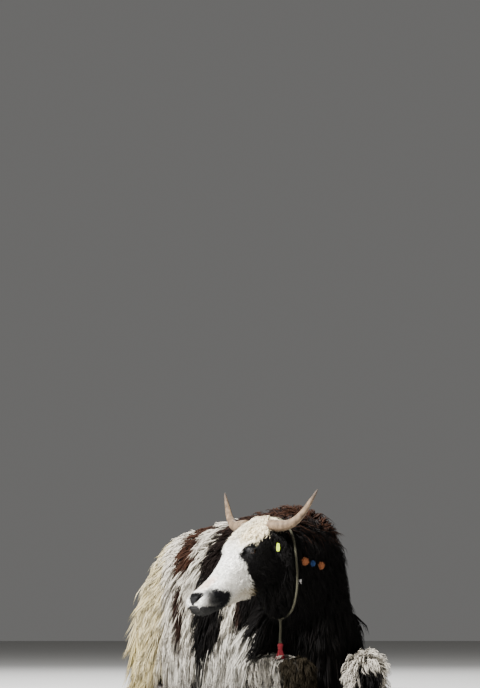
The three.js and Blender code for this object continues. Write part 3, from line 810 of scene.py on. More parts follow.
def bodyMarkings(places, streak):
    x, y, z = (places / mm).T
    colour = allOver("black", places)
    right = ramp(-x, -15, 25)
    colour = over(colour, "darkBrown", right * ramp(y, 60, 200) * ramp(z, 420, 600) * 0.3)
    sunned = ramp(z + streak * 70 - right * 50, 640, 760) * ramp(-y, -420, -200)
    colour = over(colour, "brown", sunned * np.where(streak > -0.4, 0.95, 0.25))
    colour = over(colour, "softBlack", ramp(streak, 0.2, 0.9) * 0.5 * (1 - sunned))
    # white side, with its brown patch and dark band
    white = right * ramp(y - edge("blackWhite", z), -8, 8)
    colour = over(colour, "white", white)
    brown = ramp(y - edge("whiteBrown", z), -7, 7) * ramp(edge("brownWhite", z) - y, -8, 8)
    brown = brown * ramp(z, 508, 522)
    colour = over(colour, "brown", right * brown)
    colour = over(colour, "darkBrown", right * brown * ramp(streak, -0.4, 0.6) * 0.8)
    band = ramp(y - edge("bandFront", z), -5, 5) * ramp(edge("bandRear", z) - y, -6, 6) * ramp(z, 150, 230)
    colour = over(colour, "darkBrown", right * band * ramp(478 - z, -8, 12))
    lower = white * ramp(240 - z, 0, 120) * ramp(560 - y, 0, 60)
    colour = over(colour, "grey", lower * 0.75)
    colour = over(colour, "brown", lower * ramp(streak, 0.55, 0.75) * 0.6)
    line = np.exp(-(((y - 532 - streak * 6) / 7) ** 2)) * ramp(z, 330, 380) * ramp(500 - z, 0, 60)
    colour = over(colour, "brown", right * line * 0.7)
    # cream rump, then the grey elbow and the white upright beside it
    rear = ramp(y - edge("cream", z), -15, 30)
    colour = over(colour, "cream", right * rear * (0.75 + 0.25 * streak))
    colour = over(colour, "ochre", right * rear * ramp(streak, 0.3, 0.8) * ramp(380 - z, 0, 180) * 0.6)
    shoulder = right * ramp(280 - z, -5, 10)
    elbow = shoulder * ramp(edge("elbowRear", z) - y, -14, 10) * ramp(y - edge("elbowFront", z), -10, 10)
    elbow *= np.maximum(ramp(y, -170, -130), ramp(-x, 120, 160))
    colour = over(colour, "grey", elbow)
    colour = over(colour, "white", elbow * ramp(streak, -0.2, 0.8) * 0.7)
    upright = right * ramp(z, 255, 270) * ramp(410 - z, 0, 30)
    colour = over(colour, "white", upright * ramp(y, 40, 48) * ramp(112 - y, -5, 5))
    return over(colour, "darkBrown", upright * ramp(y, -4, 4) * ramp(46 - y, -3, 5) * 0.8)


def headMarkings(places, streak):
    along, left, above = headLocal(places)
    out = np.abs(left)
    colour = allOver("creamWhite", places)
    colour = over(colour, "faceWhite", ramp(along, 60, 200))
    colour = over(colour, "creamWool", ramp(left, -5, 35) * ramp(185 - along, 0, 70) * (0.8 + 0.2 * streak))
    # painted shade: the side of the face, forward of and below the eye, is painted a greyer white
    cheek = ramp(out, 40, 62) * ramp(along, 150, 200) * ramp(-above, 10, 50)
    colour = over(colour, "cheekShadeWhite", cheek * 0.85)
    bridge = ramp(along, 300, 350) * ramp(430 - along, 0, 50) * ramp(38 - out, 0, 24)
    colour = over(colour, "pink", bridge * 0.7)
    # black round the eyes, under the jaw and behind the face
    widest = np.interp(along, [20, 37, 75, 120, 146, 175, 187, 200], [78, 84, 84, 88, 74, 57, 45, 40])
    foremost = np.interp(above, [-160, -109, -64, -39, -22, -8, 0], [253, 238, 215, 207, 205, 190, 186])
    patch = ramp(out - widest, -5, 5) * ramp(foremost - along, -5, 5)
    underneath = ramp(-above - 150, 0, 14) * ramp(270 - along, 0, 30)
    behind = ramp(-55 - above - along * 0.4, 0, 20) * ramp(60 - along, 0, 20)
    hidden = ramp(-left, 40, 60)  # the far side, where the black stays further back
    colour = over(colour, "black", np.maximum(patch * (1 - hidden * ramp(along, 120, 190)), underneath))
    colour = over(colour, "black", behind)
    # painted shade under the jaw, in ochre
    shade = ramp(-above - 95, 0, 45) * ramp(along, 230, 260) * ramp(400 - along, 0, 40)
    colour = over(colour, "ochre", shade * 0.6)
    # dark sides of the muzzle, lower lip and chin, pad of the nose, rims of the eyes and lips; the lower lip,
    # chin and mouth line are dark skin with painted shade under the muzzle and in the mouth groove
    lengthwise, crosswise = (along - 397 + above + 70) / 1.41, (along - 397 - above - 70) / 1.41
    side = np.exp(-((lengthwise / 64) ** 6) - (((crosswise - 2) / 37) ** 6)) * ramp(out, 24, 36)
    side *= ramp(above + 100 - (along - 380) * 0.1, -30, -15) + ramp(400 - along, 0, 20)
    colour = over(colour, "muzzle", side * 0.98)
    # the lower lip and chin: dark skin, with painted shade under the muzzle
    lipAndChinShade = ramp(-aboveMouth(along, above), -4, 5) * ramp(along, 366, 392)
    colour = over(colour, "nose", lipAndChinShade * 0.97)
    padHalf = np.interp(along, [424, 452, 468, 480], [37, 35, 27, 15]) * (0.55 + 0.45 * ramp(above, -36, -26))
    pad = ramp(along, 421, 427) * ramp(padHalf - out, -3, 3) * ramp(above, -46, -41)
    colour = over(colour, "nose", pad)
    rim = np.linalg.norm((places - np.where(left[:, None] > 0, eyeCentre(1), eyeCentre(-1))) / mm, axis=1)
    colour = over(colour, "nose", ramp(31 - rim, 0, 5))
    # dark rims of the lips, with painted shade along the mouth groove
    line = np.exp(-(((aboveMouth(along, above) + 3) / 7) ** 2))
    line *= ramp(along, face["mouthCorner"] - 10, face["mouthCorner"] + 12)
    return over(colour, "muzzle", line * 0.92)


def markings(places, regions, streak=None):
    streak = np.zeros(len(places)) if streak is None else streak
    x, y, z = (places / mm).T
    colour = bodyMarkings(places, streak)
    neckColour = over(allOver("black", places), "brown", ramp(z + streak * 60, 690, 760) * 0.9)
    rightFore = over(allOver("grey", places), "white", ramp(streak, -0.6, 0.5) * 0.9)
    # painted shade: the folded right knee is painted dark olive where it lies in deep shade
    rightFore = over(rightFore, "kneeShadeOlive", ramp(-y, 345, 385))
    leftFore = over(allOver("black", places), "white", ramp(-y, 300, 345))
    hollow = ramp(-y, 430, 452) * ramp(128 - z, 0, 20) * ramp(62 - np.abs(x - 132), 0, 15)
    leftFore = over(leftFore, "black", hollow)
    rightHind = over(allOver("cream", places), "grey", ramp(700 - y, 0, 200) * 0.8)
    tailColour = over(allOver("cream", places), "creamWhite", ramp(z + streak * 200, 200, 700) * 0.6)
    tailColour = over(tailColour, "ochre", ramp(streak, 0.3, 0.9) * ramp(330 - z, 0, 200) * 0.5)
    choices = {
        "neck": neckColour,
        "head": headMarkings(places, streak),
        "tail": tailColour,
        "foreRight": rightFore,
        "foreLeft": leftFore,
        "hindRight": rightHind,
    }
    for region, tone in choices.items():
        colour = np.where((regions == region)[:, None], tone, colour)
    dark = np.isin(regions, ["hindLeft", "earLeft", "earRight"])
    return np.where(dark[:, None], paint["black"], colour)


# finishes

def newFinish(name, roughness=0.6, specular=0.3):
    finish = bpy.data.materials.new(name)
    finish.use_nodes = True
    shader = finish.node_tree.nodes["Principled BSDF"]
    shader.inputs["Roughness"].default_value = roughness
    shader.inputs["Specular IOR Level"].default_value = specular
    return finish, finish.node_tree, shader


def addNode(tree, kind, inputs=None, **settings):
    node = tree.nodes.new("ShaderNode" + kind)
    for name, value in settings.items():
        setattr(node, name, value)
    for name, value in (inputs or {}).items():
        if isinstance(value, bpy.types.NodeSocket):
            tree.links.new(value, node.inputs[name])
        else:
            node.inputs[name].default_value = value
    return node


def noise(tree, scale, detail=4, stretch=None):
    place = addNode(tree, "TexCoord").outputs["Object"]
    if stretch:
        place = addNode(tree, "Mapping", {"Vector": place, "Scale": stretch}).outputs["Vector"]
    return addNode(tree, "TexNoise", {"Vector": place, "Scale": scale, "Detail": detail}).outputs["Fac"]


def spread(tree, value, low, high, start=0.25, end=0.75):
    inputs = {"Value": value, "From Min": start, "From Max": end, "To Min": low, "To Max": high}
    return addNode(tree, "MapRange", inputs).outputs["Result"]


def mixed(tree, share, a, b, blend="MIX"):
    node = addNode(tree, "Mix", data_type="RGBA", blend_type=blend)
    for socket, value in ((node.inputs[0], share), (node.inputs[6], a), (node.inputs[7], b)):
        if isinstance(value, bpy.types.NodeSocket):
            tree.links.new(value, socket)
        else:
            socket.default_value = value if isinstance(value, float) else (*value, 1)
    return node.outputs[2]


def bump(tree, shader, height, distance, strength=0.5):
    node = addNode(tree, "Bump", {"Height": height, "Distance": distance, "Strength": strength})
    tree.links.new(node.outputs["Normal"], shader.inputs["Normal"])


def times(tree, colour, value):
    node = addNode(tree, "VectorMath", operation="SCALE")
    tree.links.new(colour, node.inputs[0])
    tree.links.new(value, node.inputs["Scale"])
    return node.outputs[0]


# hair takes its colour from the tuft, darkened at the root by painted shade and a little lighter at the tip
def hairFinish(name, roughness=0.74, rootShade=0.55):
    finish, tree, shader = newFinish(name, roughness, 0.05)
    tone = addNode(tree, "Attribute", attribute_name="furTone")
    shade = spread(tree, tone.outputs["Alpha"], rootShade, 1.08, 0.0, 0.7)
    strand = addNode(tree, "Attribute", attribute_name="strand").outputs["Fac"]
    inputs = {"W": strand, "Scale": 3.2, "Detail": 2}
    hairs = addNode(tree, "TexNoise", inputs, noise_dimensions="1D").outputs["Fac"]
    streaks = spread(tree, hairs, 0.70, 1.18)
    colour = times(tree, times(tree, tone.outputs["Color"], shade), streaks)
    tree.links.new(colour, shader.inputs["Base Color"])
    bump(tree, shader, hairs, 0.0012, 0.6)
    return finish


# skin and short fur: fine bump over the fur, smoother and damp where it is bare
def skinFinish():
    finish, tree, shader = newFinish("skinFinish", 0.8, 0.12)
    tone = addNode(tree, "Attribute", attribute_name="furTone")
    bare = addNode(tree, "Attribute", attribute_name="bare").outputs["Fac"]
    fur = noise(tree, 420, 5)
    colour = times(tree, tone.outputs["Color"], spread(tree, fur, 0.72, 1.08))
    tree.links.new(colour, shader.inputs["Base Color"])
    tree.links.new(spread(tree, bare, 0.82, 0.5, 0.0, 1.0), shader.inputs["Roughness"])
    bump(tree, shader, fur, 0.0025, 0.55)
    return finish


def plainFinish(name, dark, light, roughness, scale=120, depth=0.0008, stretch=None, specular=0.3):
    finish, tree, shader = newFinish(name, roughness, specular)
    grain = noise(tree, scale, 5, stretch)
    tree.links.new(mixed(tree, spread(tree, grain, 0.0, 1.0), dark, light), shader.inputs["Base Color"])
    bump(tree, shader, grain, depth, 0.6)
    return finish


# the coat

# length from shortest to longest, and rise off the skin; lift is how steeply it leaves its root,
# hang its pull to the ground, bend how unlike its neighbours a lock runs, perLock the tufts in a lock,
# converge how far they meet, stations the steps along a tuft, sink how deep it is rooted,
# farthest how far off the skin it may stand, and low, high and ahead where it grows
everyTuft = {"perLock": 9, "converge": 0.6, "turns": 0.5, "stations": 3, "sink": 0.006, "farthest": 1}

coat = {
    "coat_back": {
        "regions": ["torso"], "low": 0.60, "high": 1.0, "count": 6300,
        "length": (0.08, 0.14), "width": 0.0072, "rise": 0.027, "lift": 0.55, "curl": 0.007, "turns": 0.9,
        "hang": 0.25, "bend": 0.4, "stations": 4,
    },
    "coat_hump": {
        "regions": ["torso"], "low": 0.70, "high": 1.0, "ahead": 0.22, "count": 1300,
        "length": (0.06, 0.10), "width": 0.0060, "rise": 0.030, "lift": 1.0, "curl": 0.010, "turns": 1.1,
        "perLock": 8, "hang": 0.2, "bend": 0.6, "stations": 5,
    },
    "coat_flank_right": {
        "regions": ["torso"], "side": -1, "low": 0.27, "high": 0.62, "count": 9200,
        "length": (0.11, 0.20), "width": 0.0070, "rise": 0.027, "lift": 0.3, "curl": 0.003,
        "perLock": 10, "hang": 0.5, "bend": 0.22,
    },
    "coat_flank_left": {
        "regions": ["torso"], "side": 1, "low": 0.27, "high": 0.62, "count": 9200,
        "length": (0.11, 0.20), "width": 0.0070, "rise": 0.018, "lift": 0.2, "curl": 0.003,
        "perLock": 10, "hang": 0.5, "bend": 0.15, "farthest": 0.04,
    },
    "coat_skirt_right": {
        "regions": ["torso"], "side": -1, "low": 0.05, "high": 0.30, "count": 6600,
        "length": (0.16, 0.27), "width": 0.0068, "rise": 0.020, "lift": 0.2, "curl": 0.004, "turns": 0.7,
        "perLock": 13, "converge": 0.8, "hang": 0.8, "bend": 0.2, "stations": 4,
    },
    "coat_skirt_left": {
        "regions": ["torso"], "side": 1, "low": 0.05, "high": 0.30, "count": 6600,
        "length": (0.16, 0.28), "width": 0.0070, "rise": 0.016, "lift": 0.15, "curl": 0.004, "turns": 0.7,
        "perLock": 13, "converge": 0.8, "hang": 0.8, "bend": 0.14, "stations": 4,
    },
    "coat_neck": {
        "regions": ["neck"], "count": 6600,
        "length": (0.06, 0.11), "width": 0.0062, "rise": 0.016, "lift": 0.35, "curl": 0.005, "turns": 0.7,
        "hang": 0.6, "bend": 0.35,
    },
    "coat_forelegs": {
        "regions": ["foreLeft", "foreRight"], "count": 5600,
        "length": (0.05, 0.09), "width": 0.0052, "rise": 0.016, "lift": 0.35, "curl": 0.002,
        "hang": 0.6, "bend": 0.3,
    },
    "coat_knee_left": {
        "regions": ["foreLeft"], "ahead": -0.33, "low": 0.05, "high": 0.20, "count": 1300,
        "length": (0.05, 0.08), "width": 0.0052, "rise": 0.042, "lift": 1.1, "curl": 0.003,
        "converge": 0.5, "hang": 0.5, "bend": 0.4, "stations": 4,
    },
    "coat_hindlegs": {
        "regions": ["hindLeft", "hindRight"], "count": 3200,
        "length": (0.05, 0.10), "width": 0.0055, "rise": 0.016, "lift": 0.35, "curl": 0.002,
        "hang": 0.6, "bend": 0.3,
    },
    "coat_tail": {
        "regions": ["tail"], "count": 4800,
        "length": (0.15, 0.25), "width": 0.0062, "rise": 0.013, "lift": 0.2, "curl": 0.005, "turns": 0.8,
        "perLock": 13, "converge": 0.75, "hang": 0.85, "bend": 0.35, "stations": 4,
    },
    "coat_face": {
        "regions": ["head"], "count": 15000, "area": "face",
        "length": (0.010, 0.018), "width": 0.0024, "rise": 0.0026, "lift": 0.2, "curl": 0, "turns": 0,
        "perLock": 4, "converge": 0.25, "hang": 0.0, "bend": 0.25, "stations": 2, "sink": 0.003,
    },
    "coat_jaw": {
        "regions": ["head"], "count": 3200, "area": "jaw",
        "length": (0.022, 0.042), "width": 0.0032, "rise": 0.007, "lift": 0.3, "curl": 0.002,
        "perLock": 6, "converge": 0.5, "hang": 0.3, "bend": 0.3, "sink": 0.004,
    },
    "coat_forelock": {
        "regions": ["head"], "count": 4200, "area": "crown",
        "length": (0.028, 0.048), "width": 0.0032, "rise": 0.007, "lift": 0.5, "curl": 0.004, "turns": 0.9,
        "hang": 0.2, "bend": 0.35, "stations": 5, "sink": 0.004,
    },
    "coat_ears": {
        "regions": ["earLeft", "earRight"], "count": 2000,
        "length": (0.018, 0.034), "width": 0.0032, "rise": 0.006, "lift": 0.3, "curl": 0.001,
        "perLock": 5, "converge": 0.4, "hang": 0.3, "bend": 0.3, "sink": 0.003,
    },
}


# the skin as triangles, for rooting tufts on it and keeping them outside it
class SkinMap:
    def __init__(self, skin):
        mesh = skin.data
        mesh.calc_loop_triangles()
        self.verts = readValues(mesh.vertices, "co", 3)
        self.normals = readValues(mesh.vertices, "normal", 3)
        self.triangles = readValues(mesh.loop_triangles, "vertices", 3, int)
        loops = readValues(mesh.loop_triangles, "loops", 3, int)
        self.uvs = readValues(mesh.uv_layers["OFBake"].data, "uv", 2)[loops]
        a, b, c = (self.verts[self.triangles[:, k]] for k in range(3))
        self.middle = (a + b + c) / 3
        crossed = np.cross(b - a, c - a)
        self.areas = np.linalg.norm(crossed, axis=1) / 2
        self.ways = unit(crossed)
        self.regions = regionOf(self.middle)
        self.tree = BVHTree.FromPolygons(self.verts.tolist(), self.triangles.tolist())

    def sample(self, weights, count):
        chance = self.areas * weights
        chosen = luck.choice(len(chance), count, p=chance / chance.sum())
        a, b = luck.random(count), luck.random(count)
        a, b = np.where(a + b > 1, 1 - a, a), np.where(a + b > 1, 1 - b, b)
        share = np.stack([1 - a - b, a, b], axis=1)[:, :, None]
        corners = self.triangles[chosen]
        places = np.sum(self.verts[corners] * share, axis=1)
        normals = unit(np.sum(self.normals[corners] * share, axis=1))
        return places, normals, np.sum(self.uvs[chosen] * share, axis=1), self.regions[chosen]

    # moves places out until each is its own height clear of the skin
    def keepClear(self, places, heights):
        found = [self.tree.find_nearest(place) for place in places.tolist()]
        near = np.array([hit[0][:] for hit in found])
        way = np.array([hit[1][:] for hit in found])
        out = places - near
        gap = np.linalg.norm(out, axis=1) * np.where(np.sum(out * way, axis=1) < 0, -1, 1)
        return places + way * np.maximum(heights - gap, 0)[:, None], way, np.maximum(gap, heights)


# the way that the hair lies at each place
def lieOf(places, normals, regions):
    side = np.where(places[:, :1] > 0, 1, -1)
    top = np.clip(normals[:, 2:3], 0, 1)
    back = 0.15 + 0.85 * ramp(0.95 - places[:, 1:2], 0, 0.3)
    aside = side * top * ramp(np.abs(places[:, :1]), 0.015, 0.13)
    lie = np.hstack([aside * 0.8, back * (0.28 + 0.9 * top), side * 0 - 1.0])
    along, left, above = headLocal(places)
    below = ramp(along, 90, 170)[:, None]
    outward = headLeft * np.sign(left)[:, None]
    faceLie = headForward * (0.55 + 0.45 * below) - headUp * 0.35 + outward * 0.1 * below
    cheekLie = -headUp * 0.8 - headForward * 0.35
    low = ramp(-above, 60, 110)[:, None]
    headLie = faceLie * (1 - low) + cheekLie * low
    for names, way in (
        (["head"], headLie),
        (["earLeft", "earRight"], outward * 0.7 + np.array([0, 0, -0.8])),
        (["neck"], np.array([0.12, 0.25, -1.0]) + top * [0.3, 0.9, 0.0]),
        (["tail"], np.array([-0.10, 0.0, -1.0]) + top * [-0.9, 0.15, 0.0]),
        (["foreLeft", "foreRight"], np.array([0, -0.25, -1.0]) + top * [0, -1.0, 0]),
        (["hindLeft", "hindRight"], np.array([0, 0.2, -1.0]) + top * side * [0.5, 0, 0] + top * [0, 0.7, 0]),
    ):
        lie = np.where(np.isin(regions, names)[:, None], way, lie)
    lie = lie - normals * dot(lie, normals)
    return unit(lie + 1e-6)


# how far places are from the middle of the nearer eye
def eyeGap(places):
    return np.min([np.linalg.norm(places - eyeCentre(side), axis=1) for side in (-1, 1)], axis=0)


# where on the head the forelock, the beard of the jaw and the short face hair grow
def headArea(name, places):
    along, left, above = headLocal(places)
    crown = ramp(120 - along, 0, 45) * ramp(above, -75, -40) * ramp(along, -70, -40)
    crown = crown * ramp(np.interp(along, [40, 120], [92, 52]) - np.abs(left), -6, 10)
    jaw = ramp(-above - 75, 0, 40) * ramp(300 - along, 0, 60)
    haired = ramp(eyeGap(places), 0.0255, 0.0285) * (1 - np.clip(bareness(places), 0, 1))
    short = np.clip(1 - crown * 0.8 - jaw * 0.5, 0.05, 1)
    return {"crown": crown, "jaw": jaw * haired, "face": short * haired}[name]


# how bare the skin is: nose, nostrils, lips and the rims of the eyes
def bareness(places):
    along, left, above = headLocal(places)
    pad = ramp(along, 436, 450) * ramp(30 - np.abs(left), 0, 12) * ramp(above, -62, -52)
    _, nearLips = shapeMouth(places)
    return np.clip(pad + nearLips * 1.2 + ramp(0.0270 - eyeGap(places), 0, 0.0025), 0, 1)


def triangleWeights(skinMap, style):
    middle, ways = skinMap.middle, skinMap.ways
    weights = np.isin(skinMap.regions, style["regions"]).astype(float)
    if "low" in style:
        weights *= ramp(middle[:, 2], style["low"] - 0.02, style["low"] + 0.02)
        weights *= ramp(style["high"] - middle[:, 2], -0.02, 0.02)
    if "side" in style:
        weights *= middle[:, 0] * style["side"] > -0.004
    if "ahead" in style:
        weights *= ramp(style["ahead"] - middle[:, 1], 0, 0.04)
    if "area" in style:
        weights *= headArea(style["area"], middle)
    floorward = ramp(-ways[:, 2], 0.5, 0.85) * ramp(0.16 - middle[:, 2], 0, 0.06)
    return weights * (1 - floorward)


lockShape = {
    "heights": (0.35, 1.1),  # share of the rise that a lock reaches
    "stretch": (0.72, 1.08),
    "widths": (0.7, 1.15),
    "flat": 0.34,  # thickness as a share of the width
    "thinnest": 0.0003,
    "shade": 0.10,  # how unlike its neighbours a tuft is in tone
    "spill": 0.007,  # how far a marking's edge is blurred
    "patch": 0.003,
    "floor": 0.004,
    "fibres": 20,
}


# the coat lies flatter under the rope and round the wool ornaments
def pressed(places):
    gaps = np.linalg.norm(places[:, None] - wornPlaces[None], axis=2).min(axis=1)
    return 0.3 + 0.7 * ramp(gaps, 0.022, 0.06)


# the middle line of each lock, which the tufts round it follow
def growGuides(skinMap, style, roots, normals, lies, aside, shares):
    lengths = luck.uniform(*style["length"], len(roots))
    heights = luck.uniform(*lockShape["heights"], len(roots))
    bends = luck.normal(0, style["bend"], len(roots))[:, None]
    now, way, gap = roots.copy(), normals, np.zeros(len(roots))
    guides = [now]
    for before, share in zip(shares, shares[1:]):
        hang = style["hang"] * share
        toward = lies * (1 - hang) + np.array([0, 0, -hang]) + aside * bends * share
        toward = toward + normals * style["lift"] * (1 - share) ** 2
        into = np.minimum(dot(toward, way), 0) * (gap < style["rise"] + 0.012)[:, None]
        toward = unit(toward - way * into)
        now = now + toward * (lengths * (share - before))[:, None]
        clear = style["rise"] * heights * ramp(share, -0.1, 0.7) * pressed(now)
        now, way, gap = skinMap.keepClear(now, clear)
        beyond = np.maximum(gap - style["farthest"], 0)  # a lock that stands off too far falls back
        now, gap = now - way * beyond[:, None], gap - beyond
        guides.append(now)
    return np.array(guides), heights


def growTufts(skinMap, style):
    count = style["count"] // 1
    roots, normals, uvs, regions = skinMap.sample(triangleWeights(skinMap, style), count)
    shares = np.linspace(0, 1, style["stations"] + 1)
    locks = max(1, count // style["perLock"])
    lies = lieOf(roots, normals, regions)
    tree = KDTree(locks)
    for i, place in enumerate(roots[:locks].tolist()):
        tree.insert(place, i)
    tree.balance()
    owner = np.array([tree.find(place)[1] for place in roots.tolist()])
    aside = unit(np.cross(lies[:locks], normals[:locks]))
    guides, heights = growGuides(skinMap, style, roots[:locks], normals[:locks], lies[:locks], aside, shares)
    guides = guides[:, owner]
    gather = (roots[owner] - roots) * style["converge"]
    stretch = luck.uniform(*lockShape["stretch"], count)[:, None]
    phase = (luck.uniform(0, 2 * math.pi, locks)[owner] + luck.normal(0, 0.5, count))[:, None]
    stray = luck.normal(0, 1, (count, 3)) * style["width"] * 0.8
    ownHeight = style["rise"] * np.clip(heights[owner] * luck.normal(1, 0.22, count), 0.15, 1.25)
    aside = aside[owner]
    path, ways = [roots - normals * style["sink"]], [normals]
    for k, share in enumerate(shares[1:], 1):
        swirl = phase + share * style["turns"] * 2 * math.pi
        curl = (aside * np.cos(swirl) + normals * np.sin(swirl)) * style["curl"] * min(1, 2.5 * share)
        place = roots + (guides[k] - guides[0]) * stretch + gather * share**1.4 + curl + stray * share
        place, way, _ = skinMap.keepClear(place, ownHeight * ramp(share, -0.1, 0.7) * pressed(place))
        lowest = lockShape["floor"] * (1.3 - 0.3 * share) + 0.002 * luck.random(count)
        place[:, 2] = np.maximum(place[:, 2], lowest)
        path.append(place)
        ways.append(unit(way + normals))
    return tuftMesh(np.array(path), np.array(ways), shares, style, uvs, roots, regions)


# triangles of all tufts: three sided rings that end in a point
def tuftFaces(rings, count):
    tip = rings * 3
    faces = [(0, 1, 2)]
    for i in range(rings):
        for a, b in ((0, 1), (1, 2), (2, 0)):
            if i == rings - 1:
                faces.append((i * 3 + a, tip, i * 3 + b))
            else:
                faces.append((i * 3 + a, (i + 1) * 3 + a, (i + 1) * 3 + b))
                faces.append((i * 3 + a, (i + 1) * 3 + b, i * 3 + b))
    starts = np.arange(count) * (tip + 1)
    return (np.array(faces)[None] + starts[:, None, None]).reshape(-1, 3)


def tuftMesh(path, ways, shares, style, uvs, roots, regions):
    rings, count = path.shape[0] - 1, path.shape[1]
    tangents = tangentsOf(path)
    across = unit(np.cross(tangents, ways))
    up = np.cross(across, tangents)
    swell = (0.72 + 0.28 * ramp(shares, 0, 0.3)) * (1 - shares**2.4) ** 0.75
    widths = luck.uniform(*lockShape["widths"], count)
    half = style["width"] / 2 * swell[:, None, None] * widths[None, :, None]
    flat = np.maximum(half * lockShape["flat"], lockShape["thinnest"])
    corners = [path + across * half - up * flat, path + up * flat, path - across * half - up * flat]
    verts = np.stack(corners, axis=2)[:rings].transpose(1, 0, 2, 3).reshape(count, rings * 3, 3)
    verts = np.concatenate([verts, path[-1][:, None]], axis=1)
    each = rings * 3 + 1
    streak = np.clip(luck.normal(0, 0.5, count), -1, 1)
    spill = luck.normal(0, lockShape["spill"], (count, 3)) * min(1, style["length"][0] / 0.05)
    hung = np.isin(regions, ["torso", "foreLeft", "foreRight"])  # long hair takes its colour where it hangs
    coloured = roots + (path[(rings + 1) // 2] - roots) * hung[:, None]
    tone = markings(coloured + spill, regions, streak)
    tone = tone * (1 + luck.normal(0, lockShape["shade"], count))[:, None]
    along = np.append(np.repeat(shares[:rings], 3), 1.0)
    tones = np.repeat(tone[:, None], each, axis=1)
    tones = np.concatenate([tones, np.broadcast_to(along[None, :, None], (count, each, 1))], axis=2)
    cornerSides = np.append(np.tile([1, 0, -1], rings), 0)
    patch = lockShape["patch"] / 2
    cornerSpots = np.stack([cornerSides * patch, (along - 0.5) * 2 * patch], axis=1)
    spots = (uvs[:, None] + cornerSpots[None]).reshape(-1, 2)
    strand = (luck.random(count)[:, None] * lockShape["fibres"] + cornerSides).ravel()
    tones = np.clip(tones, 0, 1).reshape(-1, 4)
    return verts.reshape(-1, 3), tuftFaces(rings, count), tones, spots, strand


def addTuftPiece(name, verts, faces, tones, uvs, strand, finish, slot):
    mesh = bpy.data.meshes.new(name)
    mesh.vertices.add(len(verts))
    mesh.vertices.foreach_set("co", verts.ravel())
    mesh.loops.add(faces.size)
    mesh.loops.foreach_set("vertex_index", faces.ravel())
    mesh.polygons.add(len(faces))
    mesh.polygons.foreach_set("loop_start", np.arange(0, faces.size, 3))
    mesh.update(calc_edges=True)
    setValues(mesh, "furTone", tones)
    setValues(mesh, "strand", strand)
    layer = mesh.uv_layers.new(name="OFBake")
    layer.data.foreach_set("uv", uvs[faces.ravel()].ravel())
    return addPiece(name, mesh, finish)


# horns

horn = {
    "rings": 26,
    "ridge": 0.035,
    "points": 150,
    "sides": 36,
    "tipPoints": 6,
    "tipWidth": 0.12,
    "dark": (0.040, 0.026, 0.016),
    "light": (0.185, 0.128, 0.080),
    "tip": (0.045, 0.034, 0.028),
}


def addHorn(name, side):
    rows = []
    for out, above, back, radius in hornRows:
        rows.append([*(crownPlace(side, out, above, back)), radius * mm])
    share = np.linspace(0, 1, horn["points"])
    line = curveAt(rows, share)
    ridges = 1 + horn["ridge"] * np.sin(share * horn["rings"] * 2 * math.pi) * (1 - share) ** 1.5
    radii = line[:, 3] * ridges
    radii[-horn["tipPoints"] :] *= np.sqrt(np.linspace(1, horn["tipWidth"], horn["tipPoints"]))
    verts, faces = tube(line[:, :3], radii, horn["sides"])
    mesh = bareMesh(name, verts, faces)
    setValues(mesh, "share", np.append(np.repeat(share, horn["sides"]), [0, 1]))
    return addPiece(name, mesh, finishes["hornFinish"], [name])


def makeHornFinish():
    finish, tree, shader = newFinish("hornFinish", 0.6, 0.18)
    share = addNode(tree, "Attribute", attribute_name="share").outputs["Fac"]
    grain = noise(tree, 60, 5, (1, 1, 0.5))
    base = mixed(tree, spread(tree, grain, 0.0, 1.0), horn["dark"], horn["light"])
    tip = spread(tree, share, 0.0, 1.0, 0.80, 1.0)
    tree.links.new(mixed(tree, tip, base, horn["tip"]), shader.inputs["Base Color"])
    bump(tree, shader, noise(tree, 260, 4), 0.0006, 0.5)
    return finish


# eyes, rims and lashes

eye = {
    "bulge": 0.05,
    "cornea": 34,
    "iris": 0.60,
    "pupilWide": 0.34,
    "pupilHigh": 0.17,
    "white": (0.07, 0.045, 0.032),
    "irisColour": (0.022, 0.010, 0.005),
    "pupilColour": (0.002, 0.002, 0.003),
}


def eyeLook(side):
    return unit(headLeft * side + headForward * 0.22 + headUp * 0.10)


def makeEyeFinish():
    finish, tree, shader = newFinish("eyeFinish", 0.08, 0.25)
    tone = addNode(tree, "Attribute", attribute_name="eyeTone").outputs["Color"]
    fibres = spread(tree, noise(tree, 1600, 3), 0.7, 1.3)
    tree.links.new(times(tree, tone, fibres), shader.inputs["Base Color"])
    shader.inputs["Coat Weight"].default_value = 0.3
    shader.inputs["Coat Roughness"].default_value = 0.02
    return finish


def addEye(name, side):
    look = eyeLook(side)
    level = unit(headForward - look * np.dot(headForward, look))
    raised = np.cross(look, level) * side
    axes = np.array([level, raised, look])
    verts, faces = ellipsoid(np.zeros(3), [1, 1, 1], None, 48, 64)
    angle = np.degrees(np.arccos(np.clip(verts[:, 2], -1, 1)))
    verts = verts * (1 + eye["bulge"] * ramp(eye["cornea"] - angle, 0, 16))[:, None]
    across, high = verts[:, 0], verts[:, 1]
    iris = ramp(eye["iris"] - np.hypot(across, high), -0.03, 0.03) * (verts[:, 2] > 0)
    pupil = 1 - (across / eye["pupilWide"]) ** 2 - (high / eye["pupilHigh"]) ** 2
    pupil = ramp(pupil, -0.1, 0.15) * (verts[:, 2] > 0)
    colour = np.tile(eye["white"], (len(verts), 1))
    colour += (np.array(eye["irisColour"]) - colour) * iris[:, None]
    colour += (np.array(eye["pupilColour"]) - colour) * pupil[:, None]
    mesh = bareMesh(name, verts * face["eyeRadius"] * mm @ axes + eyeCentre(side), faces)
    setValues(mesh, "eyeTone", np.hstack([colour, np.ones((len(verts), 1))]))
    return addPiece(name, mesh, finishes["eyeFinish"], [name])


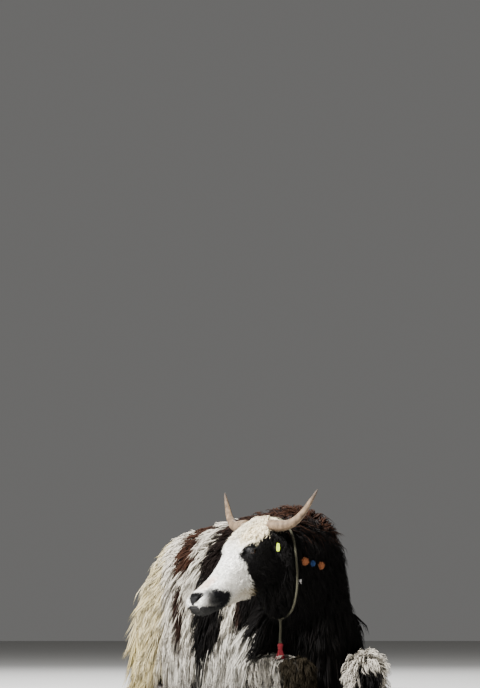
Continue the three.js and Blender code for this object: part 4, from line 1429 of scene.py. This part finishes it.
lids = {
    "half": 19.0,
    "height": 10.2,
    "point": 1.25,
    "rim": 2.2,
    "rimThick": (1.5, 0.9),  # all round, and more above
    # folds: size against the opening, off the eye, thickness, and where they start and end in degrees
    "folds": [
        (1.32, 3.3, 1.8, 18, 162, 30),
        (1.62, 3.0, 1.4, 18, 162, 30),
        (1.42, 2.6, 1.4, 205, 335, 26),
    ],
    "lashes": 34,
    "lashLength": (9, 13),
    "lashThick": (0.45, 0.45, 0.38, 0.26, 0.06),
}


# places round the almond opening, on a ball a little larger than the eye
def lidLine(side, scale, larger, start, end, count):
    along = turned(headForward, headLeft * side, -side * opening["tilt"])
    angles = np.radians(np.linspace(start, end, count))
    wide, high = np.cos(angles), np.sin(angles)
    wide = np.sign(wide) * np.abs(wide) ** lids["point"] * lids["half"] * scale
    high = np.sign(high) * np.abs(high) ** lids["point"] * lids["height"] * scale - opening["lower"]
    radius = face["eyeRadius"] + larger
    out = np.sqrt(np.maximum(radius**2 - wide**2 - high**2, 1))
    offset = along * wide[:, None] + headUp * high[:, None] + headLeft * side * out[:, None]
    return eyeCentre(side) + offset * mm


def addLids(name, side):
    rim = lidLine(side, 1.0, lids["rim"], 0, 360, 61)[:-1]
    thin, more = lids["rimThick"]
    thick = thin + more * np.clip(np.sin(np.radians(np.linspace(0, 354, 60))), 0, 1)
    parts = [tube(rim, thick * mm, 10, True)]
    for scale, larger, size, start, end, count in lids["folds"]:
        fold = lidLine(side, scale, larger, start, end, count)
        parts.append(tube(fold, size * np.sin(np.linspace(0.15, math.pi - 0.15, count)) * mm, 8))
    for root in lidLine(side, 1.03, 3.2, 22, 158, lids["lashes"]):
        out = unit(root - eyeCentre(side))
        way = unit(out + headUp * 0.25 + headForward * luck.normal(0.1, 0.22))
        steps = np.linspace(0, 1, len(lids["lashThick"]))[:, None]
        lash = root + way * steps * luck.uniform(*lids["lashLength"]) * mm - headUp * steps**2 * 5 * mm
        parts.append(tube(lash, np.array(lids["lashThick"]) * mm, 4))
    return addPiece(name, bareMesh(name, *joined(parts)), finishes["lidFinish"])


# hooves

hoof = {
    # where the hoof starts, how far it leans outward, and which way it points
    "front": (202, -172, 0.06, 1),
    "hind": (328, 645, 0.05, -1),
    "ridges": 7,
    "ridge": 0.012,
    # each claw: along, outward from the middle, level, half width, up, down
    "claw": [
        (-12, 9, 34, 20, 26, 36),
        (20, 15, 30, 19, 24, 36),
        (52, 17, 22, 16, 18, 28),
        (76, 13, 12, 9, 9, 16),
    ],
}


def addHoof(name, place, side):
    x, y, lean, ahead = hoof[place]
    direction = unit(np.array([side * lean, ahead, 0.0]))
    across = np.array([-direction[1], direction[0], 0.0])
    claws = []
    for apart in (-1, 1):
        rows = []
        for along, out, z, half, up, down in hoof["claw"]:
            centre = np.array([side * x, y, 0.0]) + direction * along + across * apart * out
            rows.append((centre[0], centre[1], z, half, up, down))
        rings, first, last = Loft(rows, cap=3).rings(44, 30)
        waves = np.linspace(0, hoof["ridges"] * 2 * math.pi, 44)
        ridge = 1 + hoof["ridge"] * np.sin(waves)[:, None, None]
        centres = rings.mean(axis=1, keepdims=True)
        verts, faces = closedRings(centres + (rings - centres) * ridge, first, last)
        verts[:, 2] = np.maximum(verts[:, 2], 0.0005)
        claws.append((verts, faces))
    addOwnPiece(name, claws, "hoofFinish", "hoof")


# collar, strap and tassel

collar = {
    "centre": (-222, -338, 590),
    "lie": (-0.9, -0.32, -0.12),
    "points": 22,
    "radius": 4.6,
    "strands": 3,
    "twists": 62,
    "neckCoat": 16,
    "headCoat": 6,
    "slack": 10,  # how far it hangs off below, and how deep it lies in the mane above
    "sunk": 11,
    "pressesBelow": 660,
    "knot": (-4, -3),
}


# points of the rope's loop round the neck, where rays from outside first meet the coat
def collarLine():
    bed = [neck.mesh(60, 60, collar["neckCoat"] * mm), head.mesh(60, 60, collar["headCoat"] * mm)]
    trees = [BVHTree.FromPolygons(verts.tolist(), faces) for verts, faces in bed]
    centre = np.array(collar["centre"]) * mm
    lie = unit(np.array(collar["lie"]))
    start = unit(np.array([0, 0, 1.0]) - lie * lie[2])
    far = 0.9
    points = []
    for i in range(collar["points"]):
        out = turned(start, lie, i * 360 / collar["points"])
        reach = 0
        for tree in trees:
            hit = tree.ray_cast(Vector(centre + out * far), Vector(-out))
            if hit[0] is not None:
                reach = max(reach, far - hit[3])
        hang = max(0.0, -out[2]) ** 3 * collar["slack"] - max(0.0, out[2]) ** 2 * collar["sunk"]
        points.append(centre + out * (reach + (collar["radius"] + hang) * mm))
    return np.array(points)


def closedCurve(points, count):
    wrapped = np.vstack([points[-3:], points, points[:3]])
    total = len(wrapped) - 1
    share = (3 + np.arange(count) / count * len(points)) / total
    return curveAt(wrapped, share)


def twisted(line, radius, strands, twists, closed=False, thick=0.56, sides=8):
    tangents = tangentsOf(line, closed)
    normal = unit(np.cross(tangents, [0.3, 0.25, 0.92]))
    sideways = np.cross(tangents, normal)
    parts = []
    for strand in range(strands):
        steps = np.arange(len(line)) / (len(line) if closed else len(line) - 1)
        angle = (steps * twists + strand / strands) * 2 * math.pi
        offset = normal * np.cos(angle)[:, None] + sideways * np.sin(angle)[:, None]
        parts.append(tube(line + offset * radius * 0.5, radius * thick, sides, closed))
    return parts


# the rope, and the place under it where the strap is tied
def addCollar(points):
    line = closedCurve(points, 900)
    parts = twisted(line, collar["radius"] * mm, collar["strands"], collar["twists"], True)
    addOwnPiece("collar_rope", parts, "shadedRopeFinish", "rope")
    lowest = points[np.argmin(points[:, 2])]
    return lowest + np.array([*collar["knot"], -collar["radius"]]) * mm


strap = {
    "length": 92,
    "radius": 5.2,
    "points": 90,
    "sway": 1.2,
    "knots": [(0, 8.5), (-90, 7.5)],  # level and size, where it is tied to the rope and to the tassel
    "knotThick": 2.6,
}


def addStrap(knot):
    line = knot + np.linspace(0, 1, strap["points"])[:, None] * np.array([0, 0, -strap["length"] - 4]) * mm
    line[:, 0] += strap["sway"] * mm * np.sin(np.linspace(0, 5, strap["points"]))
    parts = twisted(line, strap["radius"] * mm, 3, 6, False, 0.52)
    around = circle(40)
    for level, size in strap["knots"]:
        for tilt in (-0.5, 0.5):
            loop = np.stack([np.cos(around), np.sin(around), np.sin(around + 1) * tilt], axis=1)
            loop = loop * size * 0.62 * mm
            parts.append(tube(knot + [0, 0, level * mm] + loop, strap["knotThick"] * mm, 8, True))
    addOwnPiece("collar_strap", parts, "shadedRopeFinish", "rope")


tassel = {
    "crown": [(0, 4), (-4, 10), (-11, 12), (-18, 8.5), (-24, 8)],  # level and radius
    # binding thread: turns, radius, how far down it starts, step and thickness
    "binding": (4, 9.2, 17.5, 2.2, 1.3),
    "threads": 90,
    "spread": (6, 15),
    "threadsFrom": 22,
    "threadLength": (38, 44),
    "threadThick": (1.6, 1.1),
}


def addTassel(knot):
    top = knot + np.array([0, 0, -strap["length"] - 2]) * mm
    rows = [(0, 0, z, r, r, r) for z, r in tassel["crown"]]
    parts = [Loft(np.array(rows) + [*(top / mm), 0, 0, 0], upward=(0, 1, 0), cap=0.5).mesh(16, 28)]
    around = circle(48)
    turns, radius, start, step, thick = tassel["binding"]
    for k in range(turns):
        ring = np.stack([np.cos(around), np.sin(around), around * 0], axis=1) * radius * mm
        parts.append(tube(top + ring - [0, 0, (start + step * k) * mm], thick * mm, 6, True))
    steps = np.linspace(0, 1, 8)
    inner, outer = tassel["spread"]
    for _ in range(tassel["threads"]):
        angle = luck.uniform(0, 2 * math.pi)
        reach = (inner + outer * steps**1.3) * luck.uniform(0.15, 1.0) ** 0.5
        wave = 1.3 * np.sin(steps * luck.uniform(5, 9) + angle * 3)
        drop = tassel["threadsFrom"] + steps * luck.uniform(*tassel["threadLength"])
        x, y = np.cos(angle) * reach + wave * 0.5, np.sin(angle) * reach + wave * 0.5
        thread = top + np.stack([x, y, -drop], axis=1) * mm
        parts.append(tube(thread, np.linspace(*tassel["threadThick"], 8) * mm, 5))
    addOwnPiece("collar_tassel", parts, "shadedRedFinish", "red_wool")


# wool balls, a knotted scrap of cloth and the ear tag

sightLine = (0.42, 0.9, 0)
ornaments = {
    # radius, place across and height where the sight line meets the neck, finish and slot
    "neck_knot": (11, 47, 478, "knotFinish", "pale_knot"),
    "wool_ball_front": (17, 70, 556, "orangeFinish", "orange_wool"),
    "wool_ball_middle": (13, 105, 548, "blueFinish", "blue_wool"),
    "wool_ball_back": (17, 142, 540, "orangeFinish", "orange_wool"),
}


def ornamentPlace(name):
    radius, x, z = ornaments[name][:3]
    way = unit(np.array(sightLine, float))
    verts, faces = neck.mesh(60, 60)
    tree = BVHTree.FromPolygons(verts.tolist(), faces)
    hit = tree.ray_cast(Vector(np.array([x * mm, 0, z * mm]) - way * 0.9), Vector(way))
    return np.array(hit[0]) - way * 0.7 * radius * mm


wool = {"ends": 420, "core": 0.72, "reach": (0.88, 1.04), "thick": (1.3, 1.35, 0.7)}


def addWoolBall(name):
    radius = ornaments[name][0] * mm
    centre = ornamentPlace(name)
    count = wool["ends"]
    golden = np.arange(count) * math.pi * (3 - math.sqrt(5))
    z = 1 - 2 * (np.arange(count) + 0.5) / count
    flat = np.sqrt(1 - z**2)
    ways = np.stack([np.cos(golden) * flat, np.sin(golden) * flat, z], axis=1)
    parts = [ellipsoid(centre, [radius * wool["core"]] * 3, None, 10, 14)]
    for way in unit(ways + luck.normal(0, 0.09, ways.shape)):
        reach = luck.uniform(*wool["reach"]) * radius
        thread = centre + way * np.array([[0.55 * radius], [0.8 * radius], [reach]])
        thread[2] += luck.normal(0, 0.05 * radius, 3)
        parts.append(tube(thread, np.array(wool["thick"]) * mm, 4))
    addOwnPiece(name, parts, *ornaments[name][3:])


knotShape = {"size": 0.36, "flat": 0.72, "thick": 2.9, "end": (7, -3, -16), "endThick": (2.6, 1.6)}


def addKnot(name):
    centre = ornamentPlace(name)
    around = circle(90)
    size = ornaments[name][0] * knotShape["size"] * mm
    x = np.sin(around) + 2 * np.sin(2 * around)
    y = np.cos(around) - 2 * np.cos(2 * around)
    loop = np.stack([x, y, -np.sin(3 * around)], axis=1)
    flat = knotShape["flat"]
    parts = [tube(centre + loop * size * [flat, flat, 1.0], knotShape["thick"] * mm, 9, True)]
    across, ahead, down = knotShape["end"]
    for side in (-1, 1):
        steps = np.linspace(0, 1, 9)[:, None]
        end = centre + steps * np.array([side * across, ahead, down]) * mm
        end = end + np.array([0, 0, 1]) * steps**2 * 2 * mm
        parts.append(tube(end, np.linspace(*knotShape["endThick"], 9) * mm, 7))
    addOwnPiece(name, parts, *ornaments[name][3:])


tag = {
    "place": (142, -108, -6),
    "forward": 5,
    "half": (11, 17),
    "corner": 0.55,
    "narrower": 0.28,
    "plate": [(-0.2, 0.94), (0.3, 1.0), (1.6, 1.0), (2.2, 0.94), (2.2, 0.5)],  # depth and scale
    "stud": 5.5,
    "studAbove": 9,
    "studDepths": [(-9, 0.6), (2.0, 1.0), (3.4, 0.96), (4.2, 0.7), (3.4, 0.3)],
}


# a flat closed body from one outline, scaled at each depth
def disc(place, outline, out, depths):
    rings = [place + outline * scale + out * depth * mm for depth, scale in depths]
    front, back = place + out * depths[-1][0] * mm, place + out * depths[0][0] * mm
    return closedRings(np.array(rings)[::-1], front, back)


def addTag():
    centre = crownPlace(1, *tag["place"]) + heading * tag["forward"] * mm
    across = levelLeft
    raised = np.array([0, 0, 1.0])
    around = circle(64)
    wide = np.sign(np.cos(around)) * np.abs(np.cos(around)) ** tag["corner"]
    high = np.sign(np.sin(around)) * np.abs(np.sin(around)) ** tag["corner"]
    narrow = 1 - tag["narrower"] * ramp(high, 0, 1)
    halfWide, halfHigh = tag["half"]
    plate = (across * (wide * narrow * halfWide)[:, None] + raised * (high * halfHigh)[:, None]) * mm
    stud = (across * np.cos(around)[:, None] + raised * np.sin(around)[:, None]) * tag["stud"] * mm
    parts = [disc(centre, plate, heading, tag["plate"])]
    parts.append(disc(centre + raised * tag["studAbove"] * mm, stud, heading, tag["studDepths"]))
    addOwnPiece("ear_tag", parts, "tagFinish", "ear_tag")


# the floor

def addFloor():
    spokes = 96
    around = circle(spokes)
    reach = (1, 3, 8, 20, studio["floorRadius"])
    rings = [np.stack([np.cos(around) * r, np.sin(around) * r, around * 0], axis=1) for r in reach]
    verts = np.vstack([*rings, [[0, 0, 0]]])
    faces = [(len(verts) - 1, j, (j + 1) % spokes) for j in range(spokes)]
    for i in range(len(reach) - 1):
        for j in range(spokes):
            k = (j + 1) % spokes
            faces.append((i * spokes + j, (i + 1) * spokes + j, (i + 1) * spokes + k, i * spokes + k))
    floor = bpy.data.objects.new("floor", bareMesh("floor", verts, faces))
    bpy.context.scene.collection.objects.link(floor)
    pale = studio["floorColour"]
    darker = tuple(value * 0.97 for value in pale)
    floor.data.materials.append(plainFinish("floorFinish", darker, pale, 0.75, 3, 0.0005))


skinShade = {"head": 0.95, "body": 0.55}  # painted shade: the skin under long hair is painted darker than the hair


def dressSkin(skin):
    verts = readValues(skin.data.vertices, "co", 3)
    regions = regionOf(verts)
    shade = np.where(regions == "head", skinShade["head"], skinShade["body"])
    tone = markings(verts, regions) * shade[:, None]
    setValues(skin.data, "furTone", np.hstack([np.clip(tone, 0, 1), np.ones((len(verts), 1))]))
    setValues(skin.data, "bare", bareness(verts))
    skin.data.materials.clear()
    skin.data.materials.append(skinFinish())
    skin.data.shade_smooth()
    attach(skin, "root")
    legNodes = [f"{limb}_{name}" for limb in ("foreleg", "hindleg") for name in sides]
    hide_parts("torso", "neck", "head", "tail", "ear_left", "ear_right", *legNodes)


addCamera()
addLights()
addFloor()
print("camera, lights and floor")

ropePoints = collarLine()
wornPlaces = ropePoints[ropePoints[:, 2] < collar["pressesBelow"] * mm]
wornPlaces = np.vstack([wornPlaces, *(ornamentPlace(name) for name in ornaments)])
skin = makeSkin()
unwrapSkin(skin)
dressSkin(skin)
skinMap = SkinMap(skin)
print("skin", len(skinMap.triangles), "triangles")

furFinishes = {
    "coat_face": hairFinish("faceFurFinish", 0.78, 0.86),
    "coat_forelock": hairFinish("woolFinish", 0.8, 0.7),
}
fur = hairFinish("furFinish")
furSlots = {"coat_neck": "coat_black", "coat_tail": "tail_hair", "coat_ears": "coat_black"}
coatTotal = 0
for name, style in coat.items():
    tufts = growTufts(skinMap, {**everyTuft, **style})
    addTuftPiece(name, *tufts, furFinishes.get(name, fur), furSlots.get(name, "coat_pied"))
    coatTotal += len(tufts[1])
    print(name, len(tufts[1]), "triangles")
print("coat", coatTotal, "triangles")

# dark and light colour, roughness, fineness and depth of the grain, its stretch, and shine
plainLooks = {
    "lidFinish": ((0.003, 0.003, 0.003), (0.010, 0.008, 0.007), 0.6, 500),
    "hoofFinish": ((0.018, 0.015, 0.013), (0.060, 0.050, 0.042), 0.5, 90, 0.0008, (1, 1, 3)),
    # painted shade: the pale rope and strap are painted dark, as they lie in shade
    "shadedRopeFinish": ((0.018, 0.017, 0.010), (0.066, 0.061, 0.037), 0.85, 900, 0.0006),
    # painted shade: the red wool of the tassel is painted darker, as it hangs in shade
    "shadedRedFinish": ((0.060, 0.002, 0.005), (0.22, 0.009, 0.016), 0.8, 700),
    "orangeFinish": ((0.12, 0.036, 0.012), (0.38, 0.135, 0.05), 0.85, 700),
    "blueFinish": ((0.008, 0.026, 0.09), (0.028, 0.075, 0.21), 0.85, 700),
    "knotFinish": ((0.30, 0.29, 0.28), (0.52, 0.50, 0.48), 0.85, 800),
    "tagFinish": ((0.30, 0.42, 0.018), (0.44, 0.56, 0.03), 0.38, 200, 0.0003, None, 0.5),
}
finishes = {"hornFinish": makeHornFinish(), "eyeFinish": makeEyeFinish()}
for name, look in plainLooks.items():
    finishes[name] = plainFinish(name, *look)
for name, side in sides.items():
    addHorn("horn_" + name, side)
    addEye("eye_" + name, side)
    addLids("lids_" + name, side)
    addHoof("hoof_front_" + name, "front", side)
    addHoof("hoof_hind_" + name, "hind", side)
print("horns, eyes and hooves")

knot = addCollar(ropePoints)
addStrap(knot)
addTassel(knot)
for name in ("wool_ball_front", "wool_ball_middle", "wool_ball_back"):
    addWoolBall(name)
addKnot("neck_knot")
addTag()
print("collar and ornaments")
